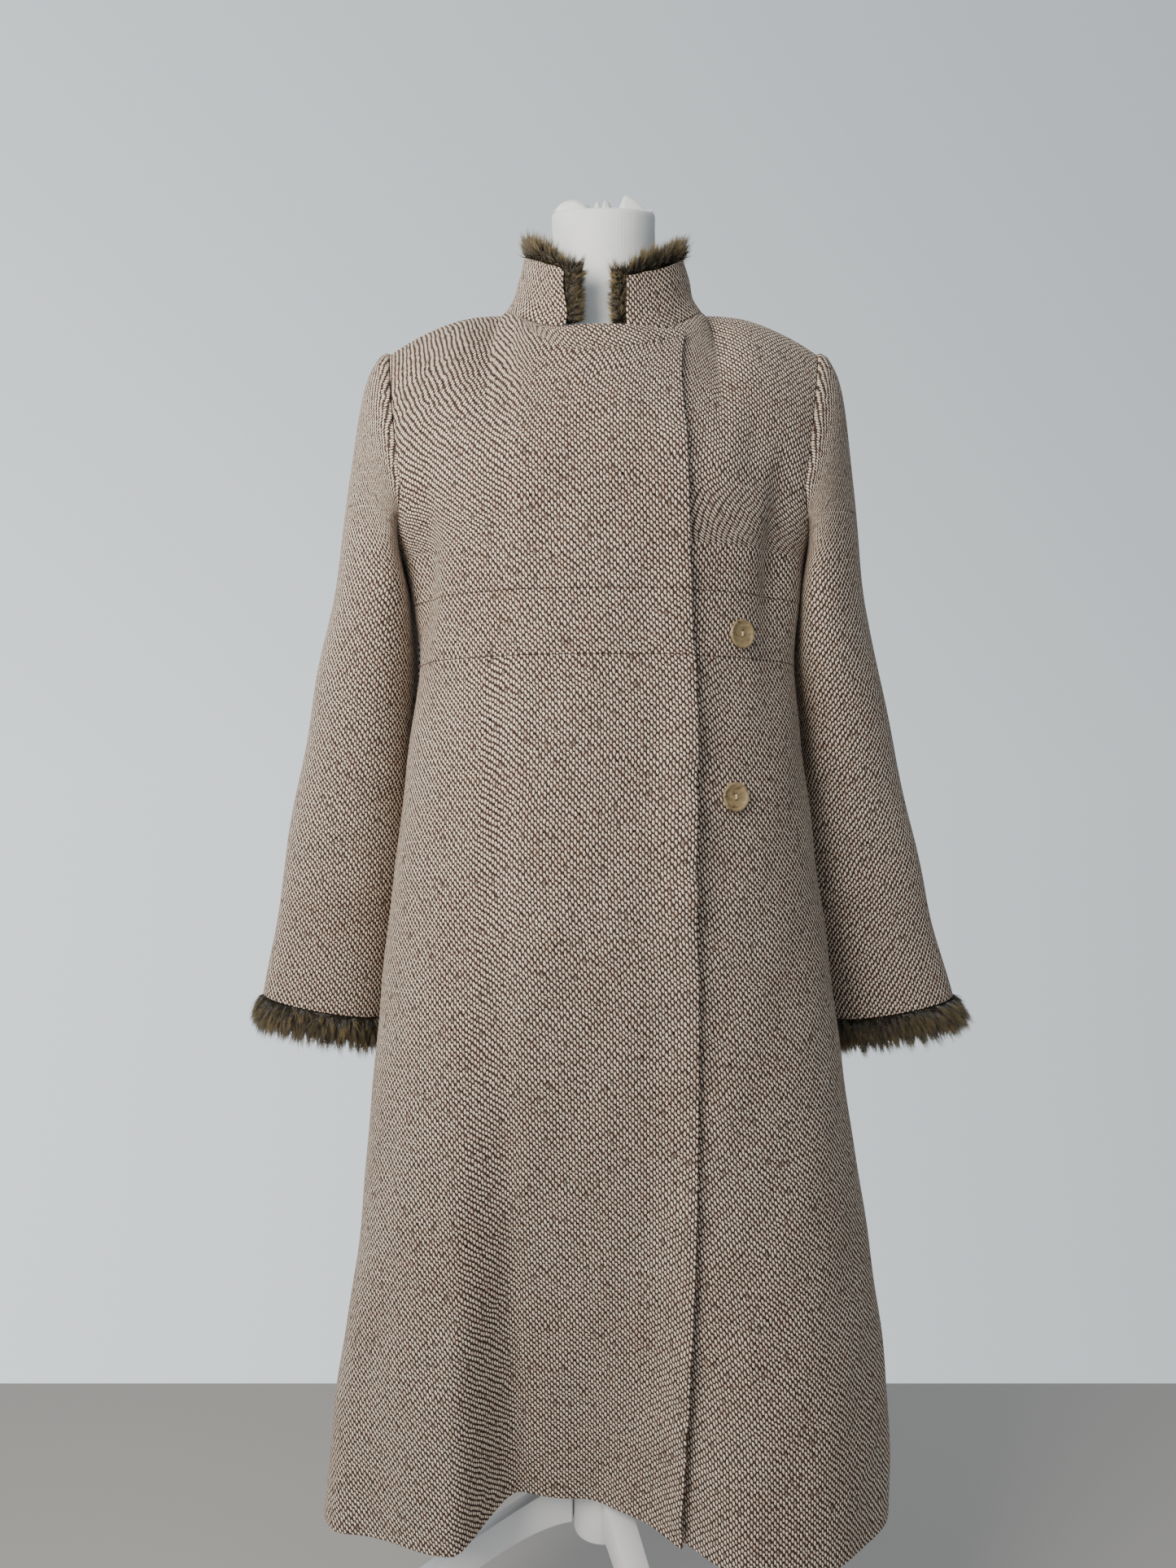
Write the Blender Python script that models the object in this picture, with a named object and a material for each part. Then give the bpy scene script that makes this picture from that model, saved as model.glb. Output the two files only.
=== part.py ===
"""A wool coat on a limbless dress form.

The coat is a set of cloth walls. Each wall is worked out from one outer face, so the
pieces meet along shared seam lines. Front is -Y, the wearer's left is +X, units are metres.
"""
import math
from collections import namedtuple

import bmesh
import bpy
from mathutils import Vector

# Driving dimensions
CLOTH = 0.003
SEAM = 0.0004
LAP = CLOTH + 0.0008
BAND_TOP = 1.157
BAND_FOOT = 1.097
UNDERARM = 1.200
CHEST = 1.270
HEM = 0.250
HEM_LIFT = 0.30
SHOULDER_X = 0.216
NECK_X = 0.100
NECK_FRONT = 0.090
NECK_BACK = 0.078
NECK_SIDE_Z = 1.4565
NECK_FRONT_Z = 1.412
NECK_BACK_Z = 1.475
NECK_FLAT = 0.24
NECK_SHARE = 0.45
BODY_POWER = 2.2
ARM_SWEEP = math.radians(60.0)
COLLAR_HEIGHT = 0.058
COLLAR_EDGE_RIGHT = -0.0369
COLLAR_EDGE_LEFT = 0.0214
FUR_ABOVE = 0.020
FUR_PAST_EDGE = 0.017
FUR_SPILL = 0.006
FUR_TIP_OUT = 0.0050
FUR_TIP_IN = 0.0030
FUR_FRONT_SHARE = 0.35
LEAN_RIGHT = -0.0185
LEAN_LEFT = 0.0061
LEAN_REACH = 0.10
SIDE_DIP_LEFT = 0.09
SIDE_DIP_RIGHT = 0.05
SIDE_DIP_REACH = 0.16
CORNER_DIP_LEFT = 0.11
CORNER_DIP_LEFT_REACH = 0.050
CORNER_DIP_RIGHT = 0.05
CORNER_DIP_RIGHT_REACH = 0.014
FUR_THICK = 0.009
FUR_TURN_RADIUS = 0.086
YOKE_PULL = 1.05
NECK_PULL_MIDDLE = 0.045
NECK_PULL_SIDE = 0.040
NECK_PULL_RISE = 0.100
SEAM_PULL = 1.25
SEAM_LEAD = 0.10
SEAM_RUN = 0.32
SLOPE_STEP = 0.002
LIFT_LEAD = 0.026
LIFT_RUN = 0.022
FOLD_FADE = 0.045
UNDERLAP_X = -0.070
NECK_BAND_X = -0.090
BUTTON_RADIUS = 0.0135
BUTTON_THICK = 0.0042
BUTTON_HOLE = 0.0013
LEAVE_SIDE = (0.015, 0.115)
LEAVE_RISE = (-0.018, 0.010)
ARRIVE_PULL = (0.050, 0.270)
FORM_NECK_RADIUS = 0.0525
FORM_NECK_TOP = 1.562
FORM_NECK_TILT = 0.38
TIE_REACH = 0.050
TIE_HALF_DEPTH = 0.020
TIE_TAPER = 0.55
TIE_THIN = 0.0020
FORM_FOOT = 0.860
FORM_SIDE_SWEEP = math.radians(80.0)
FORM_CHEST_INSET = 0.030
FORM_CLEAR = 0.0011
FORM_CORNER_INSET = 0.0040
FORM_CORNER_REACH = 0.20
POLE_RADIUS = 0.0125
HUB_RADIUS = 0.030
HUB_TOP = 0.286
HUB_FOOT = 0.222
LEG_THICK = 0.025
LEG_AZIMUTHS = (-70.0, 50.0, 170.0)
CENTRE = Vector((-0.0068, 0.0250, 0.0))

# Outer face of the coat: half widths to each side and depths to front and back
Section = namedtuple("Section", "z right left front back")
BODY_SECTIONS = (
    Section(0.230, 0.283, 0.287, 0.133, 0.202),
    Section(0.370, 0.269, 0.285, 0.139, 0.188),
    Section(0.535, 0.247, 0.265, 0.145, 0.170),
    Section(0.700, 0.232, 0.241, 0.149, 0.152),
    Section(0.867, 0.214, 0.218, 0.148, 0.137),
    Section(1.033, 0.194, 0.198, 0.142, 0.122),
    Section(1.097, 0.188, 0.190, 0.138, 0.115),
    Section(1.157, 0.192, 0.194, 0.138, 0.113),
    Section(1.200, 0.198, 0.197, 0.140, 0.116),
    Section(1.235, 0.212, 0.209, 0.140, 0.119),
    Section(1.270, 0.222, 0.218, 0.138, 0.120),
    Section(1.305, 0.225, 0.222, 0.135, 0.120),
)

# Skirt folds: how far each one pushes inwards, and how far it reaches to each side
Fold = namedtuple("Fold", "side centre depth reach_right reach_left flat starts power")
FOLDS = (
    Fold(-1, -0.048, 0.097, 0.066, 0.170, 0.030, 0.84, 1.25),
    Fold(-1, -0.170, 0.020, 0.110, 0.110, 0.030, 0.80, 1.10),
    Fold(-1, 0.190, -0.010, 0.080, 0.080, 0.010, 0.80, 1.20),
    Fold(1, -0.130, 0.030, 0.075, 0.070, 0.008, 0.95, 1.20),
    Fold(1, 0.015, 0.036, 0.070, 0.075, 0.010, 0.98, 1.20),
    Fold(1, 0.150, 0.028, 0.070, 0.075, 0.006, 0.92, 1.20),
)

# Free edge of the right front, which laps over the left front
EdgePoint = namedtuple("EdgePoint", "z x")
FRONT_EDGE = (
    EdgePoint(0.230, 0.073),
    EdgePoint(0.480, 0.083),
    EdgePoint(0.760, 0.083),
    EdgePoint(0.900, 0.078),
    EdgePoint(1.050, 0.080),
    EdgePoint(1.180, 0.075),
    EdgePoint(1.412, 0.073),
)

# Places of the columns that both fronts share where they lap, at the neck
LAP_STOPS = (UNDERLAP_X, -0.054, COLLAR_EDGE_RIGHT, -0.008, COLLAR_EDGE_LEFT, 0.047, 0.073)

# Sleeve sections: centre, half width and depth, how the ring tips up on the outside,
# and how far its front leans in over the body
SleeveSection = namedtuple("SleeveSection", "z x y half_width half_depth tip lean")
RIGHT_SLEEVE = (
    SleeveSection(0.746, 0.2960, 0.060, 0.0650, 0.050, 0.19, 0.00),
    SleeveSection(0.820, 0.2830, 0.058, 0.0640, 0.055, 0.17, 0.00),
    SleeveSection(0.880, 0.2720, 0.055, 0.0655, 0.060, 0.14, 0.02),
    SleeveSection(0.950, 0.2640, 0.050, 0.0620, 0.066, 0.11, 0.08),
    SleeveSection(1.030, 0.2523, 0.040, 0.0557, 0.073, 0.07, 0.15),
    SleeveSection(1.100, 0.2440, 0.028, 0.0500, 0.080, 0.03, 0.22),
    SleeveSection(1.160, 0.2375, 0.020, 0.0415, 0.084, 0.00, 0.25),
)
LEFT_SLEEVE = (
    SleeveSection(0.744, 0.3065, 0.060, 0.0655, 0.050, 0.19, 0.00),
    SleeveSection(0.820, 0.2878, 0.058, 0.0623, 0.055, 0.17, 0.00),
    SleeveSection(0.880, 0.2738, 0.055, 0.0633, 0.060, 0.14, 0.02),
    SleeveSection(0.950, 0.2625, 0.050, 0.0565, 0.066, 0.11, 0.08),
    SleeveSection(1.030, 0.2512, 0.040, 0.0498, 0.073, 0.07, 0.15),
    SleeveSection(1.100, 0.2395, 0.028, 0.0430, 0.080, 0.03, 0.22),
    SleeveSection(1.160, 0.2335, 0.020, 0.0360, 0.084, 0.00, 0.25),
)

# Collar: plan half axes against height, as a share of COLLAR_HEIGHT
CollarSection = namedtuple("CollarSection", "z side front back")
COLLAR_SECTIONS = (
    CollarSection(0.00, 0.1000, 0.0900, 0.078),
    CollarSection(0.25, 0.0910, 0.0880, 0.075),
    CollarSection(0.55, 0.0870, 0.0860, 0.073),
    CollarSection(0.80, 0.0830, 0.0845, 0.071),
    CollarSection(1.00, 0.0800, 0.0835, 0.070),
    CollarSection(1.40, 0.0790, 0.0830, 0.070),
)
COLLAR_LEVELS = (0.0, 0.10, 0.22, 0.42, 0.70)

# Dress form below the shoulders
FORM_SECTIONS = (
    Section(0.860, 0.160, 0.160, 0.100, 0.104),
    Section(0.930, 0.170, 0.170, 0.108, 0.110),
    Section(1.020, 0.158, 0.158, 0.102, 0.098),
    Section(1.100, 0.140, 0.140, 0.094, 0.086),
    Section(1.200, 0.165, 0.165, 0.113, 0.094),
)

# Finishes: colour, roughness and metallic
Finish = namedtuple("Finish", "colour roughness metallic")
FINISHES = {
    "tweed": Finish((0.36, 0.28, 0.24), 0.95, 0.0),
    "fur": Finish((0.13, 0.10, 0.07), 0.90, 0.0),
    "horn": Finish((0.17, 0.13, 0.07), 0.35, 0.0),
    "jersey": Finish((0.78, 0.79, 0.80), 0.85, 0.0),
    "steel": Finish((0.70, 0.70, 0.70), 0.30, 1.0),
    "white_wood": Finish((0.82, 0.83, 0.84), 0.50, 0.0),
}


def lerp(a, b, t):
    """Straight blend from a to b."""
    return a + (b - a) * t


def ease(t):
    """Smooth step from 0 to 1, held outside that range."""
    t = min(max(t, 0.0), 1.0)
    return t * t * (3.0 - 2.0 * t)


def read_rows(rows, z):
    """Smooth values of a table's other columns at height z."""
    z = min(max(z, rows[0].z), rows[-1].z)
    k = 0
    while k < len(rows) - 2 and z > rows[k + 1].z:
        k += 1
    low, high = rows[k], rows[k + 1]
    before = rows[max(k - 1, 0)]
    after = rows[min(k + 2, len(rows) - 1)]
    span = high.z - low.z
    t = (z - low.z) / span
    values = []
    for name in low._fields:
        if name == "z":
            continue
        a, b = getattr(low, name), getattr(high, name)
        slope_a = (b - getattr(before, name)) / (high.z - before.z) * span
        slope_b = (getattr(after, name) - a) / (after.z - low.z) * span
        values.append(
            a * (1 + 2 * t) * (1 - t) ** 2
            + slope_a * t * (1 - t) ** 2
            + b * t * t * (3 - 2 * t)
            + slope_b * t * t * (t - 1)
        )
    return values


def hermite(start, start_pull, end, end_pull, t):
    """Point of a cubic from start to end with the given pulls at its ends."""
    return (
        start * ((1 + 2 * t) * (1 - t) ** 2)
        + start_pull * (t * (1 - t) ** 2)
        + end * (t * t * (3 - 2 * t))
        + end_pull * (t * t * (t - 1))
    )


def solve(measure, target, low, high):
    """Value between low and high where a rising measure reaches the target."""
    for _ in range(34):
        middle = 0.5 * (low + high)
        if measure(middle) < target:
            low = middle
        else:
            high = middle
    return 0.5 * (low + high)


def oval(side, u, sweep, section):
    """Plan point of a half oval: side -1 front, 1 back; u from -1, wearer's right, to 1."""
    right, left, front, back = section
    angle = abs(u) * sweep
    width = right if u < 0 else left
    depth = front if side < 0 else back
    x = math.copysign(width * math.sin(angle) ** (2 / BODY_POWER), u)
    y = side * (depth * max(math.cos(angle), 0.0) ** (2 / BODY_POWER) + SEAM / 2)
    return x, y


def fold_push(side, x, z):
    """How far the folds push the skirt inwards at x and height z."""
    total = 0.0
    for fold in FOLDS:
        if fold.side != side or z > fold.starts:
            continue
        growth = ((fold.starts - z) / (fold.starts - HEM)) ** fold.power
        away = abs(x - fold.centre) - fold.flat
        reach = fold.reach_right if x < fold.centre else fold.reach_left
        total += fold.depth * growth * (1 - ease(away / reach))
    return total


def shell_point(side, u, z, sweep=math.pi / 2):
    """Point of the coat's outer face at height z, folds included."""
    section = read_rows(BODY_SECTIONS, z)
    x, y = oval(side, u, sweep, section)
    from_seam = (section[0] if u < 0 else section[1]) - abs(x)
    push = fold_push(side, x, z) * ease(from_seam / FOLD_FADE)
    return Vector((x, y - side * push, z))


def skirt_point(side, u, v):
    """Skirt: v from 0 at the hem to 1 at the band."""
    hem_x = shell_point(side, u, HEM).x
    foot = HEM + HEM_LIFT * max(fold_push(side, hem_x, HEM), 0.0)
    return shell_point(side, u, lerp(foot, BAND_FOOT - SEAM / 2, v))


def band_point(side, u, v):
    """Empire band: v from 0 at its foot to 1 at its top."""
    return shell_point(side, u, lerp(BAND_FOOT + SEAM / 2, BAND_TOP - SEAM / 2, v))


def neckline_point(side, q):
    """Seam where the collar stands; q from -1, wearer's right, to 1."""
    angle = q * math.pi / 2
    x = NECK_X * math.sin(angle)
    if side < 0:
        rise = ease((abs(q) - NECK_FLAT) / (1 - NECK_FLAT))
        z = lerp(NECK_FRONT_Z, NECK_SIDE_Z, rise)
        y = -NECK_FRONT * math.cos(angle)
    else:
        z = lerp(NECK_SIDE_Z, NECK_BACK_Z, math.cos(angle) ** 2)
        y = NECK_BACK * math.cos(angle)
    return Vector((x, y + side * SEAM / 2, z))


def shoulder_height(x):
    """Height of the shoulder seam at distance x from the middle."""
    run = abs(x) - NECK_X
    return NECK_SIDE_Z - 0.0227 * run - 2.79 * run * run


def top_point(side, u):
    """Upper edge of a bodice: the neckline in the middle, then the shoulder seam."""
    if abs(u) <= NECK_SHARE:
        return neckline_point(side, u / NECK_SHARE)
    reach = (abs(u) - NECK_SHARE) / (1 - NECK_SHARE)
    x = lerp(NECK_X, SHOULDER_X, reach)
    return Vector((math.copysign(x, u), side * SEAM / 2, shoulder_height(x)))


def yoke_point(side, u, t, start, rise):
    """From the chest line to the upper edge."""
    end = top_point(side, u)
    height = end.z - start.z
    start_pull = rise * (YOKE_PULL * height)
    round_neck = min(abs(u) / NECK_SHARE, 1.0)
    turn = round_neck * math.pi / 2
    inwards = lerp(NECK_PULL_MIDDLE, NECK_PULL_SIDE, round_neck)
    neck_pull = Vector((
        -math.copysign(inwards * math.sin(turn), u),
        -side * inwards * math.cos(turn),
        lerp(NECK_PULL_RISE, 0.0, round_neck),
    ))
    seam_pull = Vector((0.0, -side * SEAM_PULL * abs(start.y), 0.0))
    on_seam = ease((abs(u) - NECK_SHARE + SEAM_LEAD) / SEAM_RUN)
    return hermite(start, start_pull, end, neck_pull.lerp(seam_pull, on_seam), t)


def bodice_point(side, u, v):
    """Bodice: v 0 to 1 up to the underarm, 1 to 2 to the chest line, 2 to 3 to the top."""
    if v <= 1.0:
        low = BAND_TOP + SEAM / 2
        return shell_point(side, u, lerp(low, UNDERARM, v))
    if v <= 2.0:
        t = v - 1.0
        sweep = lerp(math.pi / 2, ARM_SWEEP, 1 - (1 - t) ** 2)
        return shell_point(side, u, lerp(UNDERARM, CHEST, t), sweep)
    start = shell_point(side, u, CHEST, ARM_SWEEP)
    below = shell_point(side, u, CHEST - SLOPE_STEP, ARM_SWEEP)
    return yoke_point(side, u, v - 2.0, start, (start - below) / SLOPE_STEP)


def normal_of(point, side, u, v, v_low, v_high):
    """Outward unit normal of a face function at u, v."""
    step = 0.0004
    across = point(side, min(u + step, 1.0), v) - point(side, max(u - step, -1.0), v)
    along = point(side, u, min(v + step, v_high)) - point(side, u, max(v - step, v_low))
    return across.cross(along).normalized() * -side


def edge_x(z):
    """Where the right front's free edge runs at height z."""
    return read_rows(FRONT_EDGE, z)[0]


def stretch(low, high, count):
    """Evenly spaced values from low up to, but not at, high."""
    return [lerp(low, high, k / count) for k in range(count)]


def lap_columns(point, v, hand):
    """Columns of a front at level v: its own stretch and the stretch both fronts share."""
    far_x = edge_x(point(-1, 0.0, v).z)
    first, last = LAP_STOPS[0], LAP_STOPS[-1]
    shared = []
    for stop in LAP_STOPS:
        target = lerp(first, far_x, (stop - first) / (last - first))
        shared.append(solve(lambda u: point(-1, u, v).x, target, -0.9, 0.9))
    if hand < 0:
        return stretch(-1.0, -NECK_SHARE, 4) + stretch(-NECK_SHARE, shared[0], 6) + shared
    return shared[:-1] + stretch(shared[-1], NECK_SHARE, 3) + stretch(NECK_SHARE, 1.0, 4) + [1.0]


def lap_lift(x):
    """How far the right front is moved out to pass over the left front."""
    return LAP * ease((x - UNDERLAP_X + LIFT_LEAD) / LIFT_RUN)


def no_lift(x):
    """A panel that lies on nothing."""
    return 0.0


def make_object(name, mesh_data, finish):
    """Add a mesh object with its finish, facing outwards and shaded smooth."""
    if mesh_data.calc_volume(signed=True) < 0:
        bmesh.ops.reverse_faces(mesh_data, faces=mesh_data.faces[:])
    mesh = bpy.data.meshes.new(name)
    mesh_data.to_mesh(mesh)
    mesh_data.free()
    mesh.materials.append(MATERIALS[finish])
    mesh.shade_smooth()
    mesh.set_sharp_from_angle(angle=math.radians(40))
    item = bpy.data.objects.new(name, mesh)
    bpy.context.scene.collection.objects.link(item)
    return item


def wall(name, outer, inner, finish="tweed", closed=False):
    """Closed wall between two grids of points, rows upwards and columns across."""
    rows, columns = len(outer), len(outer[0])
    data = bmesh.new()
    out = [[data.verts.new(point + CENTRE) for point in row] for row in outer]
    back = [[data.verts.new(point + CENTRE) for point in row] for row in inner]
    steps = columns if closed else columns - 1
    for i in range(rows - 1):
        for j in range(steps):
            k = (j + 1) % columns
            data.faces.new((out[i][j], out[i][k], out[i + 1][k]))
            data.faces.new((out[i][j], out[i + 1][k], out[i + 1][j]))
            data.faces.new((back[i][j], back[i + 1][k], back[i][k]))
            data.faces.new((back[i][j], back[i + 1][j], back[i + 1][k]))
    for j in range(steps):
        k = (j + 1) % columns
        data.faces.new((out[0][j], back[0][j], back[0][k], out[0][k]))
        data.faces.new((out[-1][j], out[-1][k], back[-1][k], back[-1][j]))
    if not closed:
        for i in range(rows - 1):
            data.faces.new((out[i][0], out[i + 1][0], back[i + 1][0], back[i][0]))
            data.faces.new((out[i][-1], back[i][-1], back[i + 1][-1], out[i + 1][-1]))
    return make_object(name, data, finish)


def cloth_panel(name, point, side, places, v_low, v_high, lift=no_lift):
    """Cloth wall over places, rows of (u, v), on one face function."""
    outer, inner = [], []
    for row in places:
        outer_row, inner_row = [], []
        for u, v in row:
            spot = point(side, u, v)
            normal = normal_of(point, side, u, v, v_low, v_high)
            raised = lift(spot.x)
            outer_row.append(spot + normal * raised)
            inner_row.append(spot + normal * (raised - CLOTH))
        outer.append(outer_row)
        inner.append(inner_row)
    return wall(name, outer, inner)


def spread(low, high, count):
    """Evenly spaced values, ends included."""
    return [lerp(low, high, k / (count - 1)) for k in range(count)]


SKIRT_LEVELS = spread(0.0, 1.0, 11)
BAND_LEVELS = spread(0.0, 1.0, 3)
SIDE_LEVELS = spread(0.0, 1.0, 3)
ARM_LEVELS = spread(1.0, 2.0, 5) + spread(2.0, 3.0, 9)[1:]
BODICE_LEVELS = SIDE_LEVELS + ARM_LEVELS[1:]
BACK_COLUMNS = spread(-1.0, -NECK_SHARE, 5)[:-1] + spread(-NECK_SHARE, NECK_SHARE, 13) + spread(
    NECK_SHARE, 1.0, 5
)[1:]


def seam_height(x):
    """Lower seam of the neck band on the right front."""
    lowest_x, lowest_z = -0.020, 1.383
    if x < lowest_x:
        return lowest_z + 0.067 * ((lowest_x - x) / 0.076) ** 2
    return lowest_z + 0.0220 * ((x - lowest_x) / 0.093) ** 2


def seam_level(u, gap):
    """Level of the neck band's lower seam at u, or the top edge where there is no band."""
    if bodice_point(-1, u, 3.0).x < NECK_BAND_X:
        return 3.0

    def above_seam(v):
        spot = bodice_point(-1, u, v)
        return spot.z - seam_height(spot.x)

    return solve(above_seam, gap, 2.0, 3.0)


def opening_level(u):
    """Level of the right front's flat opening edge at u."""
    if u <= 0.0:
        return 3.0
    return solve(lambda v: bodice_point(-1, u, v).z, NECK_FRONT_Z - 0.0001, 2.0, 3.0)


def right_front_places():
    """Rows of (u, v) of the right front bodice, squeezed under the neck band."""
    rows = []
    for level in BODICE_LEVELS:
        row = []
        for u in lap_columns(bodice_point, level, -1):
            top = seam_level(u, -SEAM)
            row.append((u, level if level <= 2.0 else lerp(2.0, top, level - 2.0)))
        rows.append(row)
    return rows


def neck_band_places():
    """Rows of (u, v) of the crescent between the right front and the opening."""
    columns = lap_columns(bodice_point, 3.0, -1)
    columns = [u for u in columns if bodice_point(-1, u, 3.0).x >= NECK_BAND_X]
    return [
        [(u, lerp(seam_level(u, 0.0), opening_level(u), share)) for u in columns]
        for share in spread(0.0, 1.0, 3)
    ]


def build_fronts():
    """Both fronts: bodice, band and skirt, the right one lapped over the left."""
    parts = (
        ("bodice", bodice_point, BODICE_LEVELS, 0.0, 3.0),
        ("band", band_point, BAND_LEVELS, 0.0, 1.0),
        ("skirt", skirt_point, SKIRT_LEVELS, 0.0, 1.0),
    )
    for part, point, levels, v_low, v_high in parts:
        right = [[(u, v) for u in lap_columns(point, v, -1)] for v in levels]
        left = [[(u, v) for u in lap_columns(point, v, 1)] for v in levels]
        if part == "bodice":
            right = right_front_places()
        cloth_panel("right_front_" + part, point, -1, right, v_low, v_high, lap_lift)
        cloth_panel("left_front_" + part, point, -1, left, v_low, v_high)
    cloth_panel("right_front_neck_band", bodice_point, -1, neck_band_places(), 0.0, 3.0, lap_lift)


def build_back():
    """Back bodice, band and skirt, each cut in one across the back."""
    parts = (
        ("back_bodice", bodice_point, BODICE_LEVELS, 3.0),
        ("back_band", band_point, BAND_LEVELS, 1.0),
        ("back_skirt", skirt_point, SKIRT_LEVELS, 1.0),
    )
    for name, point, levels, v_high in parts:
        places = [[(u, v) for u in BACK_COLUMNS] for v in levels]
        cloth_panel(name, point, 1, places, 0.0, v_high)


def sleeve_ring(rows, hand, phase, z):
    """Point of a sleeve section; phase 0 outside, a quarter at the front, a half inside."""
    x, y, half_width, half_depth, tip, lean = read_rows(rows, z)
    angle = 2 * math.pi * phase
    c, s = math.cos(angle), math.sin(angle)
    across = half_width * math.copysign(abs(c) ** 0.92, c)
    ahead = half_depth * math.copysign(abs(s) ** 0.92, s)
    inwards = lean * max(ahead, 0.0) ** 2 / half_depth
    return Vector((hand * (x + across - inwards), y - ahead, z + tip * across))


def armhole_point(hand, phase):
    """Edge of the armhole: phase 0 at the shoulder, a half at the underarm."""
    if phase <= 0.5:
        return bodice_point(-1, hand, 3.0 - 4.0 * phase)
    return bodice_point(1, hand, 1.0 + 4.0 * (phase - 0.5))


def sleeve_point(rows, hand, phase, s):
    """Sleeve: s 0 to 1 from the armhole to the upper arm, then 1 to 2 down to the cuff."""
    top = rows[-1].z
    if s > 1.0:
        return sleeve_ring(rows, hand, phase, lerp(top, rows[0].z, s - 1.0))
    start = armhole_point(hand, phase) + Vector((hand * SEAM, 0.0, 0.0))
    end = sleeve_ring(rows, hand, phase, top)
    below = sleeve_ring(rows, hand, phase, top - 0.004)
    upper = 0.5 + 0.5 * math.cos(2 * math.pi * phase)
    side, rise = lerp(*LEAVE_SIDE, upper), lerp(*LEAVE_RISE, upper)
    arrive = (below - end).normalized() * lerp(*ARRIVE_PULL, upper)
    leave = Vector((hand * side, 0.0, rise))
    return hermite(start, leave, end, arrive, s)


def sleeve_normal(rows, hand, phase, s):
    """Outward unit normal of a sleeve."""
    step = 0.002
    around = sleeve_point(rows, hand, phase + step, s) - sleeve_point(rows, hand, phase - step, s)
    low, high = max(s - step, 0.0), min(s + step, 2.0)
    along = sleeve_point(rows, hand, phase, high) - sleeve_point(rows, hand, phase, low)
    normal = around.cross(along)
    if s == 0.0:
        normal.x = 0.0
    return normal.normalized() * hand


def sleeve_phases():
    """Phases round a sleeve that match the points of the armhole edge."""
    front = [(3.0 - v) / 4.0 for v in reversed(ARM_LEVELS)]
    back = [0.5 + (v - 1.0) / 4.0 for v in ARM_LEVELS]
    return front + back[1:-1]


def build_sleeve(name, rows, hand):
    """One set-in sleeve as a tube."""
    outer, inner = [], []
    for s in (0.0, 0.14, 0.28, 0.44, 0.62, 0.80) + tuple(spread(1.0, 2.0, 8)):
        outer_row, inner_row = [], []
        for phase in sleeve_phases():
            phase_safe = max(phase, 0.0021)
            spot = sleeve_point(rows, hand, phase, s)
            normal = sleeve_normal(rows, hand, phase_safe, s)
            outer_row.append(spot)
            inner_row.append(spot - normal * CLOTH)
        outer.append(outer_row)
        inner.append(inner_row)
    wall(name, outer, inner, closed=True)


# Section of the cuff's fur: how far down from the cloth's end and how far out
FurPoint = namedtuple("FurPoint", "down out")
CUFF_FUR_SECTION = (
    FurPoint(0.0004, -0.0010),
    FurPoint(0.0030, 0.0055),
    FurPoint(0.0100, 0.0090),
    FurPoint(0.0200, 0.0100),
    FurPoint(0.0300, 0.0080),
    FurPoint(0.0370, 0.0020),
    FurPoint(0.0370, -0.0050),
    FurPoint(0.0280, -0.0090),
    FurPoint(0.0120, -0.0090),
    FurPoint(0.0004, -0.0060),
)


def build_cuff_fur(name, rows, hand):
    """Fur band round the end of a sleeve."""
    data = bmesh.new()
    loops = []
    for phase in sleeve_phases():
        spot = sleeve_point(rows, hand, phase, 2.0)
        down = (spot - sleeve_point(rows, hand, phase, 1.96)).normalized()
        out = sleeve_normal(rows, hand, max(phase, 0.0021), 2.0)
        ring = [data.verts.new(spot + down * p.down + out * p.out + CENTRE) for p in CUFF_FUR_SECTION]
        loops.append(ring)
    for j, ring in enumerate(loops):
        following = loops[(j + 1) % len(loops)]
        for k in range(len(ring)):
            m = (k + 1) % len(ring)
            data.faces.new((ring[k], ring[m], following[m], following[k]))
    make_object(name, data, "fur")


def collar_warp(turn, height):
    """Leans the two front edges and dips the top edge at the sides and the front corners."""
    past = math.asin(FUR_PAST_EDGE / FUR_TURN_RADIUS) / (2 * math.pi)
    if turn > 0.5:
        inside = 1.0 + math.asin(COLLAR_EDGE_RIGHT / NECK_X) / (2 * math.pi) - turn
        lean, side, middle = LEAN_RIGHT, SIDE_DIP_RIGHT, 0.79
        corner, reach = CORNER_DIP_RIGHT, CORNER_DIP_RIGHT_REACH
    else:
        inside = turn - math.asin(COLLAR_EDGE_LEFT / NECK_X) / (2 * math.pi)
        lean, side, middle = LEAN_LEFT, SIDE_DIP_LEFT, 0.21
        corner, reach = CORNER_DIP_LEFT, CORNER_DIP_LEFT_REACH
    fade = ease(1 - inside / LEAN_REACH) if inside > 0 else max(1 + inside / past, 0.0)
    dip = side * ease(1 - abs(turn - middle) / SIDE_DIP_REACH) + corner * ease(1 - inside / reach)
    return turn + lean * fade * ease(height), height * (1 - dip)


def collar_point(turn, height):
    """Collar's outer face: turn 0 at the front, a quarter at the wearer's left; height 0 to 1.4."""
    turn, height = collar_warp(turn, height)
    angle = 2 * math.pi * turn
    side_axis, front, back = read_rows(COLLAR_SECTIONS, height)
    across, ahead = math.sin(angle), math.cos(angle)
    if ahead >= 0:
        base = neckline_point(-1, math.asin(max(min(across, 1.0), -1.0)) * 2 / math.pi)
        y = -front * ahead
    else:
        base = neckline_point(1, math.asin(max(min(across, 1.0), -1.0)) * 2 / math.pi)
        y = -back * ahead
    return Vector((side_axis * across, y, base.z + SEAM + COLLAR_HEIGHT * height))


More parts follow.
